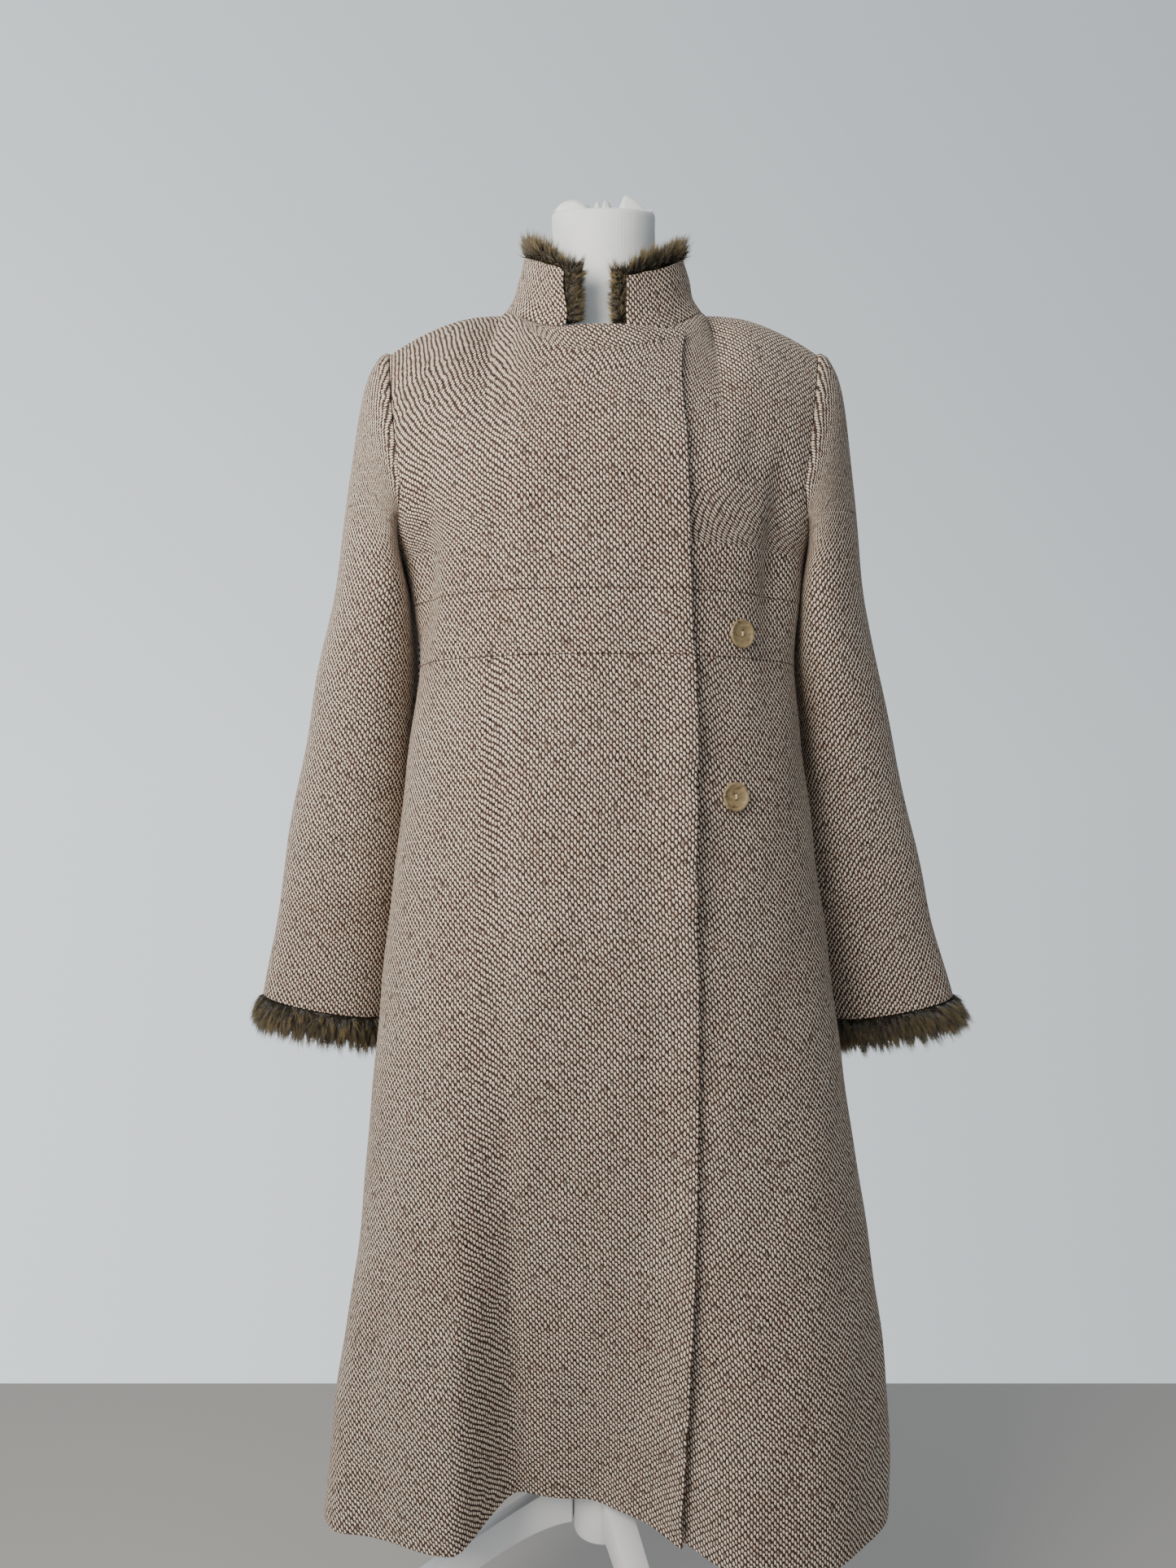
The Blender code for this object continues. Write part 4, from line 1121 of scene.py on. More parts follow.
@dataclass
class Sleeve:
    """One set-in sleeve, from the armhole to the cuff."""

    shape: CoatShape
    hand: Hand
    table: Array
    cloth: Material
    around: int = 96
    head_ridge: float = 0.0022
    inner_fill: float = 0.0022
    # pulls of the sleeve head, at the underarm and at the shoulder: out, up, into the arm
    head_out: Place = (0.015, 0.115)
    head_up: Place = (-0.018, 0.010)
    arm_pull: Place = (0.050, 0.270)

    @property
    def name(self) -> str:
        """Name of the piece, and of its CAD node."""
        return self.hand.name.lower() + "_sleeve"

    def ring(self, phase: Array, z: Array) -> Array:
        """Point of a section; phase 0 outside, a quarter at the front, a half inside.

        Args:
            phase: Share of the way round.
            z: Heights.

        Returns:
            Points.
        """
        x, y, half_width, half_depth, tip, lean = np.moveaxis(read_rows(self.table, z), -1, 0)
        c, s = np.cos(2 * math.pi * phase), np.sin(2 * math.pi * phase)
        across = half_width * np.copysign(np.abs(c) ** 0.92, c)
        ahead = half_depth * np.copysign(np.abs(s) ** 0.92, s)
        inwards = lean * np.maximum(ahead, 0.0) ** 2 / half_depth
        return stack(self.hand.value * (x + across - inwards), y - ahead, z + tip * across)

    def armhole(self, phase: Array) -> Array:
        """Edge of the armhole: phase 0 at the shoulder, a half at the underarm.

        Args:
            phase: Share of the way round.

        Returns:
            Points.
        """
        phase = np.mod(phase, 1.0)
        u = np.full(phase.shape, float(self.hand.value))
        front = self.shape.bodice(Side.FRONT, u, 3.0 - 4.0 * np.minimum(phase, 0.5))
        back = self.shape.bodice(Side.BACK, u, 1.0 + 4.0 * np.maximum(phase - 0.5, 0.0))
        return np.where((phase <= 0.5)[..., None], front, back)

    def point(self, phase: Array, s: Array) -> Array:
        """Sleeve: s 0 to 1 from the armhole to the upper arm, then 1 to 2 down to the cuff.

        Args:
            phase: Share of the way round.
            s: Levels down the sleeve, 0 to 2.

        Returns:
            Points.
        """
        phase, s = np.broadcast_arrays(phase, s)
        hand = self.hand.value
        top, foot = self.table[-1, 0], self.table[0, 0]
        lower = self.ring(phase, lerp(top, foot, np.maximum(s - 1.0, 0.0)))
        start = self.armhole(phase) + np.array((hand * self.shape.sizes.seam, 0.0, 0.0))
        end = self.ring(phase, np.full(phase.shape, top))
        below = self.ring(phase, np.full(phase.shape, top - 0.004))
        upper = 0.5 + 0.5 * np.cos(2 * math.pi * phase)
        leave = stack(hand * lerp(*self.head_out, upper), 0.0, lerp(*self.head_up, upper))
        arrive = unit(below - end) * lerp(*self.arm_pull, upper)[..., None]
        high = hermite(start, leave, end, arrive, np.minimum(s, 1.0))
        return np.where((s > 1.0)[..., None], lower, high)

    def normal(self, phase: Array, s: Array) -> Array:
        """Outward unit normals.

        Args:
            phase: Share of the way round.
            s: Levels down the sleeve, 0 to 2.

        Returns:
            Unit vectors.
        """
        step = 0.002
        around = self.point(phase + step, s) - self.point(phase - step, s)
        along = self.point(phase, np.minimum(s + step, 2.0)) - self.point(phase, np.maximum(s - step, 0.0))
        normal = np.cross(around, along)
        normal[..., 0] = np.where(s == 0.0, 0.0, normal[..., 0])
        return unit(normal) * self.hand.value

    def relief(self, phase: Array, spot: Array, from_head: Array) -> Array:
        """Creases, the ridge of the sleeve head and soft unevenness, outwards.

        Args:
            phase: Share of the way round.
            spot: Points of the face.
            from_head: Length run down from the armhole.

        Returns:
            Distances.
        """
        z = spot[..., 2]
        upper = ease(0.5 + 0.75 * np.cos(2 * math.pi * phase))
        out = self.head_ridge * upper * hill((from_head - 0.0060) / 0.0055)
        out = out + 0.0006 * np.sin(40 * z + 1.7 + 12.6 * phase) * ease(from_head / 0.05)
        out = out + self.inner_fill * hill((z - 1.110) / 0.110) * hill((phase - 0.5) / 0.18)
        for hand, crease_z, centre, depth, height, width, slope in CREASES:
            if hand != self.hand.value:
                continue
            off = np.mod(phase - centre + 0.5, 1.0) - 0.5
            across = (z - crease_z - slope * off * 0.35) / height
            out = out - depth * hill(across) * hill(off / width)
            out = out + 0.5 * depth * hill(across - 2.0) * hill(off / width)
        return out

    def levels(self) -> Array:
        """Values of s for the rows, evenly spaced along the outer arm.

        Returns:
            Levels.
        """
        fine = np.linspace(0.0, 2.0, 241)
        run = arc_lengths(self.point(np.full(fine.shape, 0.12), fine)[None], 1)
        return np.interp(spaced(run[:, -1], 110, True, True)[0], run[0], fine)

    def build(self) -> None:
        s = self.levels()
        phase = np.linspace(0.0, 1.0, self.around, endpoint=False)
        phase, s = np.meshgrid(phase, s)
        spot, normal = self.point(phase, s), self.normal(phase, s)
        along = arc_lengths(spot, 0)
        lift = self.relief(phase, spot, along)
        droop = SoftEdges.droop
        fall = np.maximum(droop(along, 0.0014), droop(along[-1:] - along, FREE))
        outer = spot + normal * (lift - fall)[..., None]
        inner = spot + normal * (lift - self.shape.sizes.cloth)[..., None]
        round_points = np.concatenate((spot, spot[:, :1]), axis=1)
        across = arc_lengths(round_points, 1)
        half = self.around // 2
        across = across - np.where(np.arange(self.around + 1) <= half, 0.0, across[:, -1:])
        from_cuff = along[-1:] - along
        height = np.concatenate((from_cuff, from_cuff[:, :1]), axis=1)
        weave = np.stack((across, height), -1)
        wall = ClothWall(self.name, outer, inner, weave, closed=True)
        item = wall.build(self.cloth)
        hang_cloth(item, wall, (f"{self.hand.name.lower()}_front_bodice", "back_bodice"))


class Wire:
    """A socket of a node tree that takes part in sums."""

    def __init__(self, work: "NodeWork", socket: NodeSocket) -> None:
        """Keeps the socket and the tree that it belongs to."""
        self.work, self.socket = work, socket

    def __add__(self, other: "Wire | float") -> "Wire":
        """Sum."""
        return self.work.math("ADD", self, other)

    __radd__ = __add__

    def __mul__(self, other: "Wire | float") -> "Wire":
        """Product."""
        return self.work.math("MULTIPLY", self, other)

    __rmul__ = __mul__

    def __sub__(self, other: "Wire | float") -> "Wire":
        """Difference."""
        return self.work.math("SUBTRACT", self, other)

    def __rsub__(self, other: float) -> "Wire":
        """Difference from a number."""
        return self.work.math("SUBTRACT", other, self)

    def __truediv__(self, other: "Wire | float") -> "Wire":
        """Quotient."""
        return self.work.math("DIVIDE", self, other)

    def __pow__(self, other: float) -> "Wire":
        """Power."""
        return self.work.math("POWER", self, other)

    def floor(self) -> "Wire":
        """Whole part."""
        return self.work.math("FLOOR", self)

    def sine(self) -> "Wire":
        """Sine."""
        return self.work.math("SINE", self)

    def least(self, other: "Wire | float") -> "Wire":
        """The smaller of two."""
        return self.work.math("MINIMUM", self, other)

    def most(self, other: "Wire | float") -> "Wire":
        """The larger of two."""
        return self.work.math("MAXIMUM", self, other)

    def smooth(self, low: float, high: float) -> "Wire":
        """Smooth step from 0 at low to 1 at high, either way round."""
        start, end = (0.0, 1.0) if low <= high else (1.0, 0.0)
        return self.work.wire("ShaderNodeMapRange", {"interpolation_type": "SMOOTHSTEP"}, {
            "Value": self, "From Min": min(low, high), "From Max": max(low, high),
            "To Min": start, "To Max": end,
        })


class NodeWork:
    """A node tree that is being laid out."""

    def __init__(self, tree: NodeTree) -> None:
        """Keeps the tree."""
        self.tree = tree

    def node(self, kind: str, settings: dict | None = None, inputs: dict | None = None) -> Node:
        """Adds a node.

        Args:
            kind: Blender's node type.
            settings: Properties, set first; stops are a ramp's positions and colours.
            inputs: Values or wires of its sockets, by name or number.

        Returns:
            The node.
        """
        made = self.tree.nodes.new(kind)
        for key, value in (settings or {}).items():
            if key == "stops":
                self.set_stops(made.color_ramp, value)
            else:
                setattr(made, key, value)
        for key, value in (inputs or {}).items():
            self.feed(made.inputs[key], value)
        return made

    @staticmethod
    def set_stops(ramp: bpy.types.ColorRamp, stops: Sequence[tuple[float, Colour]]) -> None:
        """Sets a ramp's positions and colours.

        Args:
            ramp: The ramp, with two stops or more.
            stops: Position and colour of each stop.
        """
        while len(ramp.elements) < len(stops):
            ramp.elements.new(0.5)
        for element, (place, colour) in zip(ramp.elements, stops):
            element.position = place
            element.color = (*colour, 1.0)

    def feed(self, socket: NodeSocket, value: object) -> None:
        """Links a wire or sets a value."""
        if isinstance(value, Wire):
            self.tree.links.new(value.socket, socket)
        elif isinstance(value, tuple) and socket.type == "RGBA":
            socket.default_value = (*value, 1.0)
        else:
            socket.default_value = value

    def wire(
        self, kind: str, settings: dict | None = None, inputs: dict | None = None, out: int | str = 0,
    ) -> Wire:
        """Adds a node and returns one of its outputs."""
        return Wire(self, self.node(kind, settings, inputs).outputs[out])

    def math(self, operation: str, *values: Wire | float) -> Wire:
        """Number maths."""
        return self.wire("ShaderNodeMath", {"operation": operation}, dict(enumerate(values)))

    def vector(self, operation: str, first: Wire, second: object) -> Wire:
        """Vector maths on a wire and a wire or plain value, which is the factor of SCALE."""
        key = 3 if operation == "SCALE" else 1
        return self.wire("ShaderNodeVectorMath", {"operation": operation}, {0: first, key: second})


class Shader(NodeWork):
    """One material and the nodes in it."""

    def __init__(self, name: str) -> None:
        """Starts a material with its shader node.

        Args:
            name: Name of the material.
        """
        self.material = bpy.data.materials.new(name)
        self.material.use_nodes = True
        super().__init__(self.material.node_tree)
        self.surface = self.tree.nodes["Principled BSDF"]

    def mix(self, factor: Wire | float, a: Wire | Colour, b: Wire | Colour, blend: str = "MIX") -> Wire:
        """Blend of two colours."""
        settings = {"data_type": "RGBA", "blend_type": blend}
        return self.wire("ShaderNodeMix", settings, {0: factor, 6: a, 7: b}, 2)

    def noise(
        self, place: Wire, scale: float, detail: float = 2.0, rough: float = 0.5,
        stretch: Sequence[float] = (1, 1, 1),
    ) -> Wire:
        """Noise from 0 to 1 at a number of cells per metre.

        Args:
            place: Coordinates in metres.
            scale: Cells for each metre.
            detail: Octaves.
            rough: Strength of the fine octaves.
            stretch: Scale along each axis.

        Returns:
            The noise.
        """
        spot = self.wire("ShaderNodeMapping", None, {"Vector": place, "Scale": tuple(stretch)})
        inputs = {"Vector": spot, "Scale": scale, "Detail": detail, "Roughness": rough}
        return self.wire("ShaderNodeTexNoise", None, inputs)

    def split(self, place: Wire) -> tuple[Wire, Wire, Wire]:
        """The three parts of a vector."""
        made = self.node("ShaderNodeSeparateXYZ", None, {0: place})
        return tuple(Wire(self, made.outputs[n]) for n in range(3))

    def join(self, x: Wire | float, y: Wire | float, z: Wire | float) -> Wire:
        """A vector from three parts."""
        return self.wire("ShaderNodeCombineXYZ", None, {0: x, 1: y, 2: z})

    def chance(self, place: Wire) -> Wire:
        """A random number for each place."""
        return self.wire("ShaderNodeTexWhiteNoise", {"noise_dimensions": "3D"}, {"Vector": place})

    def object_place(self) -> Wire:
        """Object coordinates in metres."""
        return self.wire("ShaderNodeTexCoord", out="Object")

    def cloth_place(self) -> Wire:
        """Place on the cloth in metres."""
        return self.wire("ShaderNodeUVMap", {"uv_map": "Weave"})

    def attribute(self, name: str) -> Wire:
        """A number stored on the mesh."""
        return self.wire("ShaderNodeAttribute", {"attribute_name": name}, out="Fac")

    def bump(self, height: Wire, depth: float, strength: float = 1.0) -> None:
        """Raises the surface by a height of 0 to 1."""
        inputs = {"Height": height, "Distance": depth, "Strength": strength}
        self.feed(self.surface.inputs["Normal"], self.wire("ShaderNodeBump", None, inputs))

    def set(self, **values: object) -> None:
        """Sets sockets of the surface; underscores stand for spaces."""
        for key, value in values.items():
            self.feed(self.surface.inputs[key.replace("_", " ")], value)


@dataclass(frozen=True)
class Tweed:
    """Coarse wool weave: cream floats over a brown ground with dark flecks."""

    pitch: float = 0.00275
    repeat: float = 0.0062
    slant: float = 0.30
    half_wide: float = 0.375
    half_tall: float = 0.325
    cream: Colour = srgb(255, 243, 226)
    rose: Colour = srgb(226, 192, 174)
    grey: Colour = srgb(222, 210, 194)
    ground: Colour = srgb(92, 76, 68)
    deep: Colour = srgb(52, 40, 36)
    fleck: Colour = srgb(18, 12, 12)

    def material(self) -> Material:
        """Builds the finish.

        Returns:
            The material.
        """
        s = Shader("tweed")
        place = s.cloth_place()
        across, along, _ = s.split(place)
        spot = s.object_place()
        warp = s.noise(place, 110.0, 2.0)
        drift = s.noise(place, 38.0, 1.0)
        u = across / self.pitch + (warp - 0.5) * 0.55
        column = u.floor()
        odd = column * 0.5 - (column * 0.5).floor()
        v = along / self.repeat + odd + (drift - 0.5) * 1.1 + (warp - 0.5) * 0.30
        row = v.floor()
        cell = s.join(column, row, 0.0)
        luck, tint = s.chance(cell), s.chance(s.join(column, row, 4.7))
        fine = s.noise(place, 900.0, 2.0, 0.6)
        dv = (v - row - 0.5 + (luck - 0.5) * 0.14) / self.half_tall
        du = (u - column - 0.5 + (tint - 0.5) * 0.12) / self.half_wide + dv * self.slant
        far = (du * du + dv * dv) ** 0.5 + (fine - 0.5) * 0.45
        float_mask = far.smooth(1.10, 0.92)
        dome = (1.0 - du * du * 0.6 - dv * dv * 0.5).most(0.0)
        mood = s.noise(spot, 9.0, 2.0, 0.55)
        brown = s.mix(s.noise(place, 420.0, 2.0, 0.7).smooth(0.35, 0.65), self.ground, self.deep)
        brown = s.mix(s.noise(place, 210.0, 1.0, 0.5).smooth(0.69, 0.73), brown, self.fleck)
        light = s.mix(tint.smooth(0.55, 1.0) * 0.65, self.cream, self.rose)
        light = s.mix(luck.smooth(0.60, 1.0) * 0.55, light, self.grey)
        light = s.mix((luck - 0.975).smooth(0.0, 0.01) * 0.55, light, self.deep)
        lint = s.noise(place, 700.0, 2.0, 0.7)
        light = s.mix(lint.smooth(0.50, 0.80) * 0.18, light, self.ground)
        colour = s.mix(float_mask * 0.96, brown, light)
        shade = s.mix(mood.smooth(0.30, 0.70), srgb(246, 240, 236), srgb(255, 253, 250))
        colour = s.mix(1.0, colour, shade, "MULTIPLY")
        fuzz = s.noise(place, 1500.0, 2.0, 0.6)
        height = float_mask * dome * 0.8 + fine * 0.18 + fuzz * 0.12
        s.bump(height, 0.0011, 0.75)
        s.set(Base_Color=colour, Roughness=0.94, Specular_IOR_Level=0.15)
        s.set(Sheen_Weight=0.04, Sheen_Roughness=0.5)
        return s.material


@dataclass(frozen=True)
class Fur:
    """Olive-brown pile: pale at the tips, dark at the roots, partly painted shade in the pile."""

    # root: the fur's dark base colour, partly painted shade deep in the pile
    root: Colour = srgb(18, 15, 10)
    body: Colour = srgb(78, 66, 41)
    tip: Colour = srgb(182, 159, 107)

    def hairs(self) -> Material:
        """Finish of the hairs.

        Returns:
            The material.
        """
        s = Shader("fur_hairs")
        t, tone = s.attribute("hair_t"), s.attribute("hair_tone")
        patch = s.noise(s.object_place(), 85.0, 2.0)
        # hairs darken towards their roots: partly the fur's own colour, partly painted shade deep in the
        # pile
        low = s.mix(t.smooth(0.0, 0.55), self.root, self.body)
        pale = s.mix(tone.smooth(0.15, 0.85), self.body, self.tip)
        colour = s.mix(t.smooth(0.30, 1.0) * (0.45 + patch * 0.9).least(1.0), low, pale)
        # low-tone tufts darkened towards the root colour: random tone, partly painted shade for the dark
        # gaps between tufts
        colour = s.mix(tone.smooth(0.10, 0.50), s.mix(0.55, colour, self.root), colour)
        s.set(Base_Color=colour, Roughness=0.55 + tone * 0.2)
        s.set(Specular_IOR_Level=0.35, Sheen_Weight=0.25)
        return s.material

    def skin(self) -> Material:
        """Finish of the dense pile under the hairs, dark with the root colour, partly painted shade deep in
        the pile.

        Returns:
            The material.
        """
        s = Shader("fur_skin")
        spot = s.object_place()
        grain = s.noise(spot, 420.0, 3.0, 0.7, (1.0, 1.0, 0.35))
        # dark root colour here is partly painted shade deep in the pile
        colour = s.mix(grain.smooth(0.3, 0.75), self.root, blend_colours(self.root, self.body, 0.55))
        s.bump(grain, 0.0020)
        s.set(Base_Color=colour, Roughness=0.95, Specular_IOR_Level=0.1)
        return s.material


@dataclass(frozen=True)
class Horn:
    """Mottled olive-brown horn look with a gloss."""

    pale: Colour = srgb(192, 173, 136)
    middle: Colour = srgb(153, 133, 97)
    dark: Colour = srgb(92, 74, 48)

    def material(self) -> Material:
        """Builds the finish.

        Returns:
            The material.
        """
        s = Shader("horn")
        spot = s.object_place()
        cloud = s.noise(spot, 170.0, 3.0, 0.6, (1.0, 1.0, 1.7))
        vein = s.noise(spot, 420.0, 3.0, 0.65, (1.0, 1.0, 0.35))
        stops = ((0.30, self.dark), (0.47, self.middle), (0.58, self.middle), (0.72, self.pale))
        mottle = s.wire("ShaderNodeValToRGB", {"stops": stops}, {0: cloud})
        colour = s.mix(vein.smooth(0.55, 0.75) * 0.5, mottle, self.dark)
        s.bump(vein, 0.0002, 0.4)
        s.set(Base_Color=colour, Roughness=0.24 + vein * 0.14, Coat_Weight=0.3, Coat_Roughness=0.12)
        return s.material


@dataclass(frozen=True)
class Thread:
    """Cream sewing thread."""

    colour: Colour = srgb(222, 208, 178)
    shade: Colour = srgb(176, 156, 120)

    def material(self) -> Material:
        """Builds the finish.

        Returns:
            The material.
        """
        s = Shader("thread")
        twist = s.noise(s.object_place(), 2600.0, 1.0)
        s.bump(twist, 0.0002, 0.6)
        s.set(Base_Color=s.mix(twist * 0.5, self.colour, self.shade), Roughness=0.8)
        return s.material


@dataclass(frozen=True)
class Jersey:
    """Matt white jersey with fine ribs round the form."""

    colour: Colour = srgb(246, 249, 249)
    shade: Colour = srgb(229, 233, 235)
    ribs: int = 300

    def material(self) -> Material:
        """Builds the finish.

        Returns:
            The material.
        """
        s = Shader("jersey")
        spot = s.object_place()
        x, y, z = s.split(spot)
        angle = s.math("ARCTAN2", y - float(CENTRE[1]), x - float(CENTRE[0]))
        rib = (angle * float(self.ribs)).sine() * 0.5 + 0.5
        course = (z * 5200.0).sine() * 0.5 + 0.5
        cloud = s.noise(spot, 22.0, 3.0, 0.6)
        lint = s.noise(spot, 900.0, 2.0, 0.6)
        colour = s.mix(cloud.smooth(0.3, 0.75) * 0.6 + rib * 0.12, self.colour, self.shade)
        s.bump(rib * 0.6 + course * 0.25 + lint * 0.3, 0.00035, 0.55)
        s.set(Base_Color=colour, Roughness=0.86, Sheen_Weight=0.15, Specular_IOR_Level=0.25)
        return s.material


@dataclass(frozen=True)
class PaintedWood:
    """White satin paint on planed wood, a little worn."""

    colour: Colour = srgb(232, 234, 236)
    worn: Colour = srgb(206, 200, 190)

    def material(self) -> Material:
        """Builds the finish.

        Returns:
            The material.
        """
        s = Shader("white_wood")
        spot = s.object_place()
        brush = s.noise(spot, 160.0, 3.0, 0.6, (1.0, 1.0, 0.18))
        cloud = s.noise(spot, 14.0, 3.0, 0.6)
        scuff = s.noise(spot, 60.0, 4.0, 0.7)
        colour = s.mix(scuff.smooth(0.62, 0.74) * 0.45 + cloud * 0.12, self.colour, self.worn)
        s.bump(brush * 0.7 + scuff * 0.3, 0.0003, 0.5)
        s.set(Base_Color=colour, Roughness=0.38 + scuff * 0.22)
        return s.material


@dataclass(frozen=True)
class BrushedSteel:
    """Drawn steel tube."""

    colour: Colour = srgb(196, 198, 200)
    line: Colour = srgb(150, 152, 154)

    def material(self) -> Material:
        """Builds the finish.

        Returns:
            The material.
        """
        s = Shader("steel")
        line = s.noise(s.object_place(), 900.0, 2.0, 0.6, (1.0, 1.0, 0.03))
        s.bump(line, 0.0001, 0.4)
        colour = s.mix(line * 0.3, self.colour, self.line)
        s.set(Base_Color=colour, Roughness=0.26 + line * 0.2, Metallic=1.0)
        return s.material


@dataclass(frozen=True)
class FurLook:
    """How the hairs of a fur piece grow."""

    hairs: int
    length: float
    thick: float = 0.00038
    stand: float = 0.60
    tangle: float = 0.72
    bend: float = 0.40
    tufts: float = 235.0
    seed: int = 7


class FurTree(NodeWork):
    """Geometry Nodes tree that grows tapered hairs on a core."""

    def __init__(self) -> None:
        """Builds the tree once for all the fur pieces."""
        super().__init__(bpy.data.node_groups.new("FurHairs", "GeometryNodeTree"))
        numbers = ("Density", "Length", "Thickness", "Stand", "Tangle", "Bend", "Tufts")
        kinds = {"Core": "Geometry", **dict.fromkeys(numbers, "Float"), "Seed": "Int", "Finish": "Material"}
        face = self.tree.interface
        self.inputs = {}
        for name, kind in kinds.items():
            made = face.new_socket(name=name, in_out="INPUT", socket_type="NodeSocket" + kind)
            self.inputs[name] = made.identifier
        face.new_socket(name="Hairs", in_out="OUTPUT", socket_type="NodeSocketGeometry")
        begin = self.node("NodeGroupInput")
        self.start = {name: Wire(self, begin.outputs[name]) for name in kinds}
        self.node("NodeGroupOutput", None, {0: self.bend(self.scatter())})

    def named(self, name: str, kind: str) -> Wire:
        """A named attribute of the mesh."""
        return self.wire("GeometryNodeInputNamedAttribute", {"data_type": kind}, {"Name": name})

    def random(self, low: object, high: object, shift: int) -> Wire:
        """A random value for each hair.

        Args:
            low: Least value, a number or a vector.
            high: Greatest value.
            shift: What is added to the tree's seed.

        Returns:
            The value.
        """
        kind, first, out = ("FLOAT_VECTOR", 0, 0) if isinstance(low, tuple) else ("FLOAT", 2, 1)
        inputs = {first: low, first + 1: high, "Seed": self.start["Seed"] + float(shift)}
        return self.wire("FunctionNodeRandomValue", {"data_type": kind}, inputs, out)

    def store(self, geometry: Wire, name: str, kind: str, domain: str, value: Wire) -> Wire:
        """Stores a named attribute."""
        inputs = {"Geometry": geometry, "Name": name, "Value": value}
        return self.wire("GeometryNodeStoreNamedAttribute", {"data_type": kind, "domain": domain}, inputs)

    def scatter(self) -> Wire:
        """Stands hairs on the core as instances that know their tone and their bend.

        Returns:
            The instances.
        """
        start, vector = self.start, self.vector
        amount = start["Density"] * self.named("grow", "FLOAT")
        points = self.node(
            "GeometryNodeDistributePointsOnFaces", {"distribute_method": "RANDOM"},
            {"Mesh": start["Core"], "Density": amount, "Seed": start["Seed"]},
        )
        comb = self.named("comb", "FLOAT_VECTOR")
        place = self.wire("GeometryNodeInputPosition")
        cells = {"Vector": place, "Scale": start["Tufts"]}
        tuft = self.node("ShaderNodeTexVoronoi", {"feature": "F1"}, cells)
        tint, knot = Wire(self, tuft.outputs["Color"]), Wire(self, tuft.outputs["Position"])
        patch = self.wire("ShaderNodeSeparateXYZ", None, {0: tint})
        sway = vector("SCALE", vector("SUBTRACT", tint, (0.5, 0.5, 0.5)), 1.9)
        stray = vector("SCALE", self.random((-0.5, -0.5, -0.5), (0.5, 0.5, 0.5), 3), 0.5)
        lean = vector("ADD", comb, vector("SCALE", Wire(self, points.outputs["Normal"]), start["Stand"]))
        lean = vector("ADD", lean, vector("SCALE", vector("ADD", sway, stray), start["Tangle"]))
        align = self.wire("FunctionNodeAlignRotationToVector", {"axis": "Z"}, {"Vector": lean})
        cone = self.wire(
            "GeometryNodeMeshCone", {"fill_type": "NGON"},
            {"Vertices": 3, "Side Segments": 2, "Radius Top": 0.0, "Radius Bottom": 1.0, "Depth": 1.0},
            "Mesh",
        )
        height = self.wire("ShaderNodeSeparateXYZ", None, {0: self.wire("GeometryNodeInputPosition")}, 2)
        hair = self.store(cone, "hair_t", "FLOAT", "POINT", height)
        long = start["Length"] * self.random(0.62, 1.12, 11) * (patch * 0.80 + 0.52)
        thick, long = start["Thickness"], long * self.named("reach", "FLOAT")
        size = self.wire("ShaderNodeCombineXYZ", None, {0: thick, 1: thick, 2: long})
        grown = self.wire("GeometryNodeInstanceOnPoints", None, {
            "Points": Wire(self, points.outputs["Points"]), "Instance": hair,
            "Rotation": align, "Scale": size,
        })
        tone = self.random(0.0, 1.0, 23) * 0.45 + patch * 0.55
        grown = self.store(grown, "hair_tone", "FLOAT", "INSTANCE", tone)
        loose = vector("SCALE", self.random((-0.6, -0.6, -0.6), (0.6, 0.6, 0.6), 31), 0.7)
        droop = vector("ADD", comb, loose)
        droop = vector("SCALE", droop, start["Length"] * start["Bend"])
        droop = vector("ADD", droop, vector("SCALE", vector("SUBTRACT", knot, place), 0.95))
        return self.store(grown, "hair_bend", "FLOAT_VECTOR", "INSTANCE", droop)

    def bend(self, grown: Wire) -> Wire:
        """Makes the instances real, bends each hair more towards its tip and sets the finish.

        Args:
            grown: The instances.

        Returns:
            The finished hairs.
        """
        real = self.wire("GeometryNodeRealizeInstances", None, {"Geometry": grown})
        tip = self.named("hair_t", "FLOAT")
        move = self.vector("SCALE", self.named("hair_bend", "FLOAT_VECTOR"), tip * tip)
        bent = self.wire("GeometryNodeSetPosition", None, {"Geometry": real, "Offset": move})
        inputs = {"Geometry": bent, "Material": self.start["Finish"]}
        return self.wire("GeometryNodeSetMaterial", None, inputs)

    def grow(self, name: str, core: Object, look: FurLook, finish: Material) -> Object:
        """Grows hairs on a core and returns them as a plain mesh object.

        Args:
            name: Name of the hair piece.
            core: Mesh with the attributes grow, comb and reach on its points.
            look: How the hairs grow.
            finish: Material of the hairs.

        Returns:
            The hair piece.
        """
        mesh = core.data
        grow = np.empty(len(mesh.vertices), np.float32)
        mesh.attributes["grow"].data.foreach_get("value", grow)
        weight = sum(p.area * float(np.mean(grow[list(p.vertices)])) for p in mesh.polygons)
        values = {
            "Density": look.hairs / weight, "Length": look.length, "Thickness": look.thick,
            "Stand": look.stand, "Tangle": look.tangle, "Bend": look.bend, "Tufts": look.tufts,
            "Seed": look.seed, "Finish": finish,
        }
        holder = link_object(name + "_source", mesh.copy())
        growth = holder.modifiers.new("Hairs", "NODES")
        growth.node_group = self.tree
        for key, value in values.items():
            growth[self.inputs[key]] = value
        graph = bpy.context.evaluated_depsgraph_get()
        grown = holder.evaluated_get(graph)
        made = bpy.data.meshes.new_from_object(grown, preserve_all_data_layers=True, depsgraph=graph)
        bpy.data.objects.remove(holder)
        made.name = name
        made.shade_smooth()
        return add_piece(name, made, finish)


def mark_points(mesh: Mesh, grow: Array, comb: Array, reach: Array) -> None:
    """Writes how hairs grow onto the points of a core."""
    for name, kind, key, values in (
        ("grow", "FLOAT", "value", grow), ("comb", "FLOAT_VECTOR", "vector", comb),
        ("reach", "FLOAT", "value", reach),
    ):
        layer = mesh.attributes.new(name, kind, "POINT")
        layer.data.foreach_set(key, np.ascontiguousarray(values, np.float32).reshape(-1))


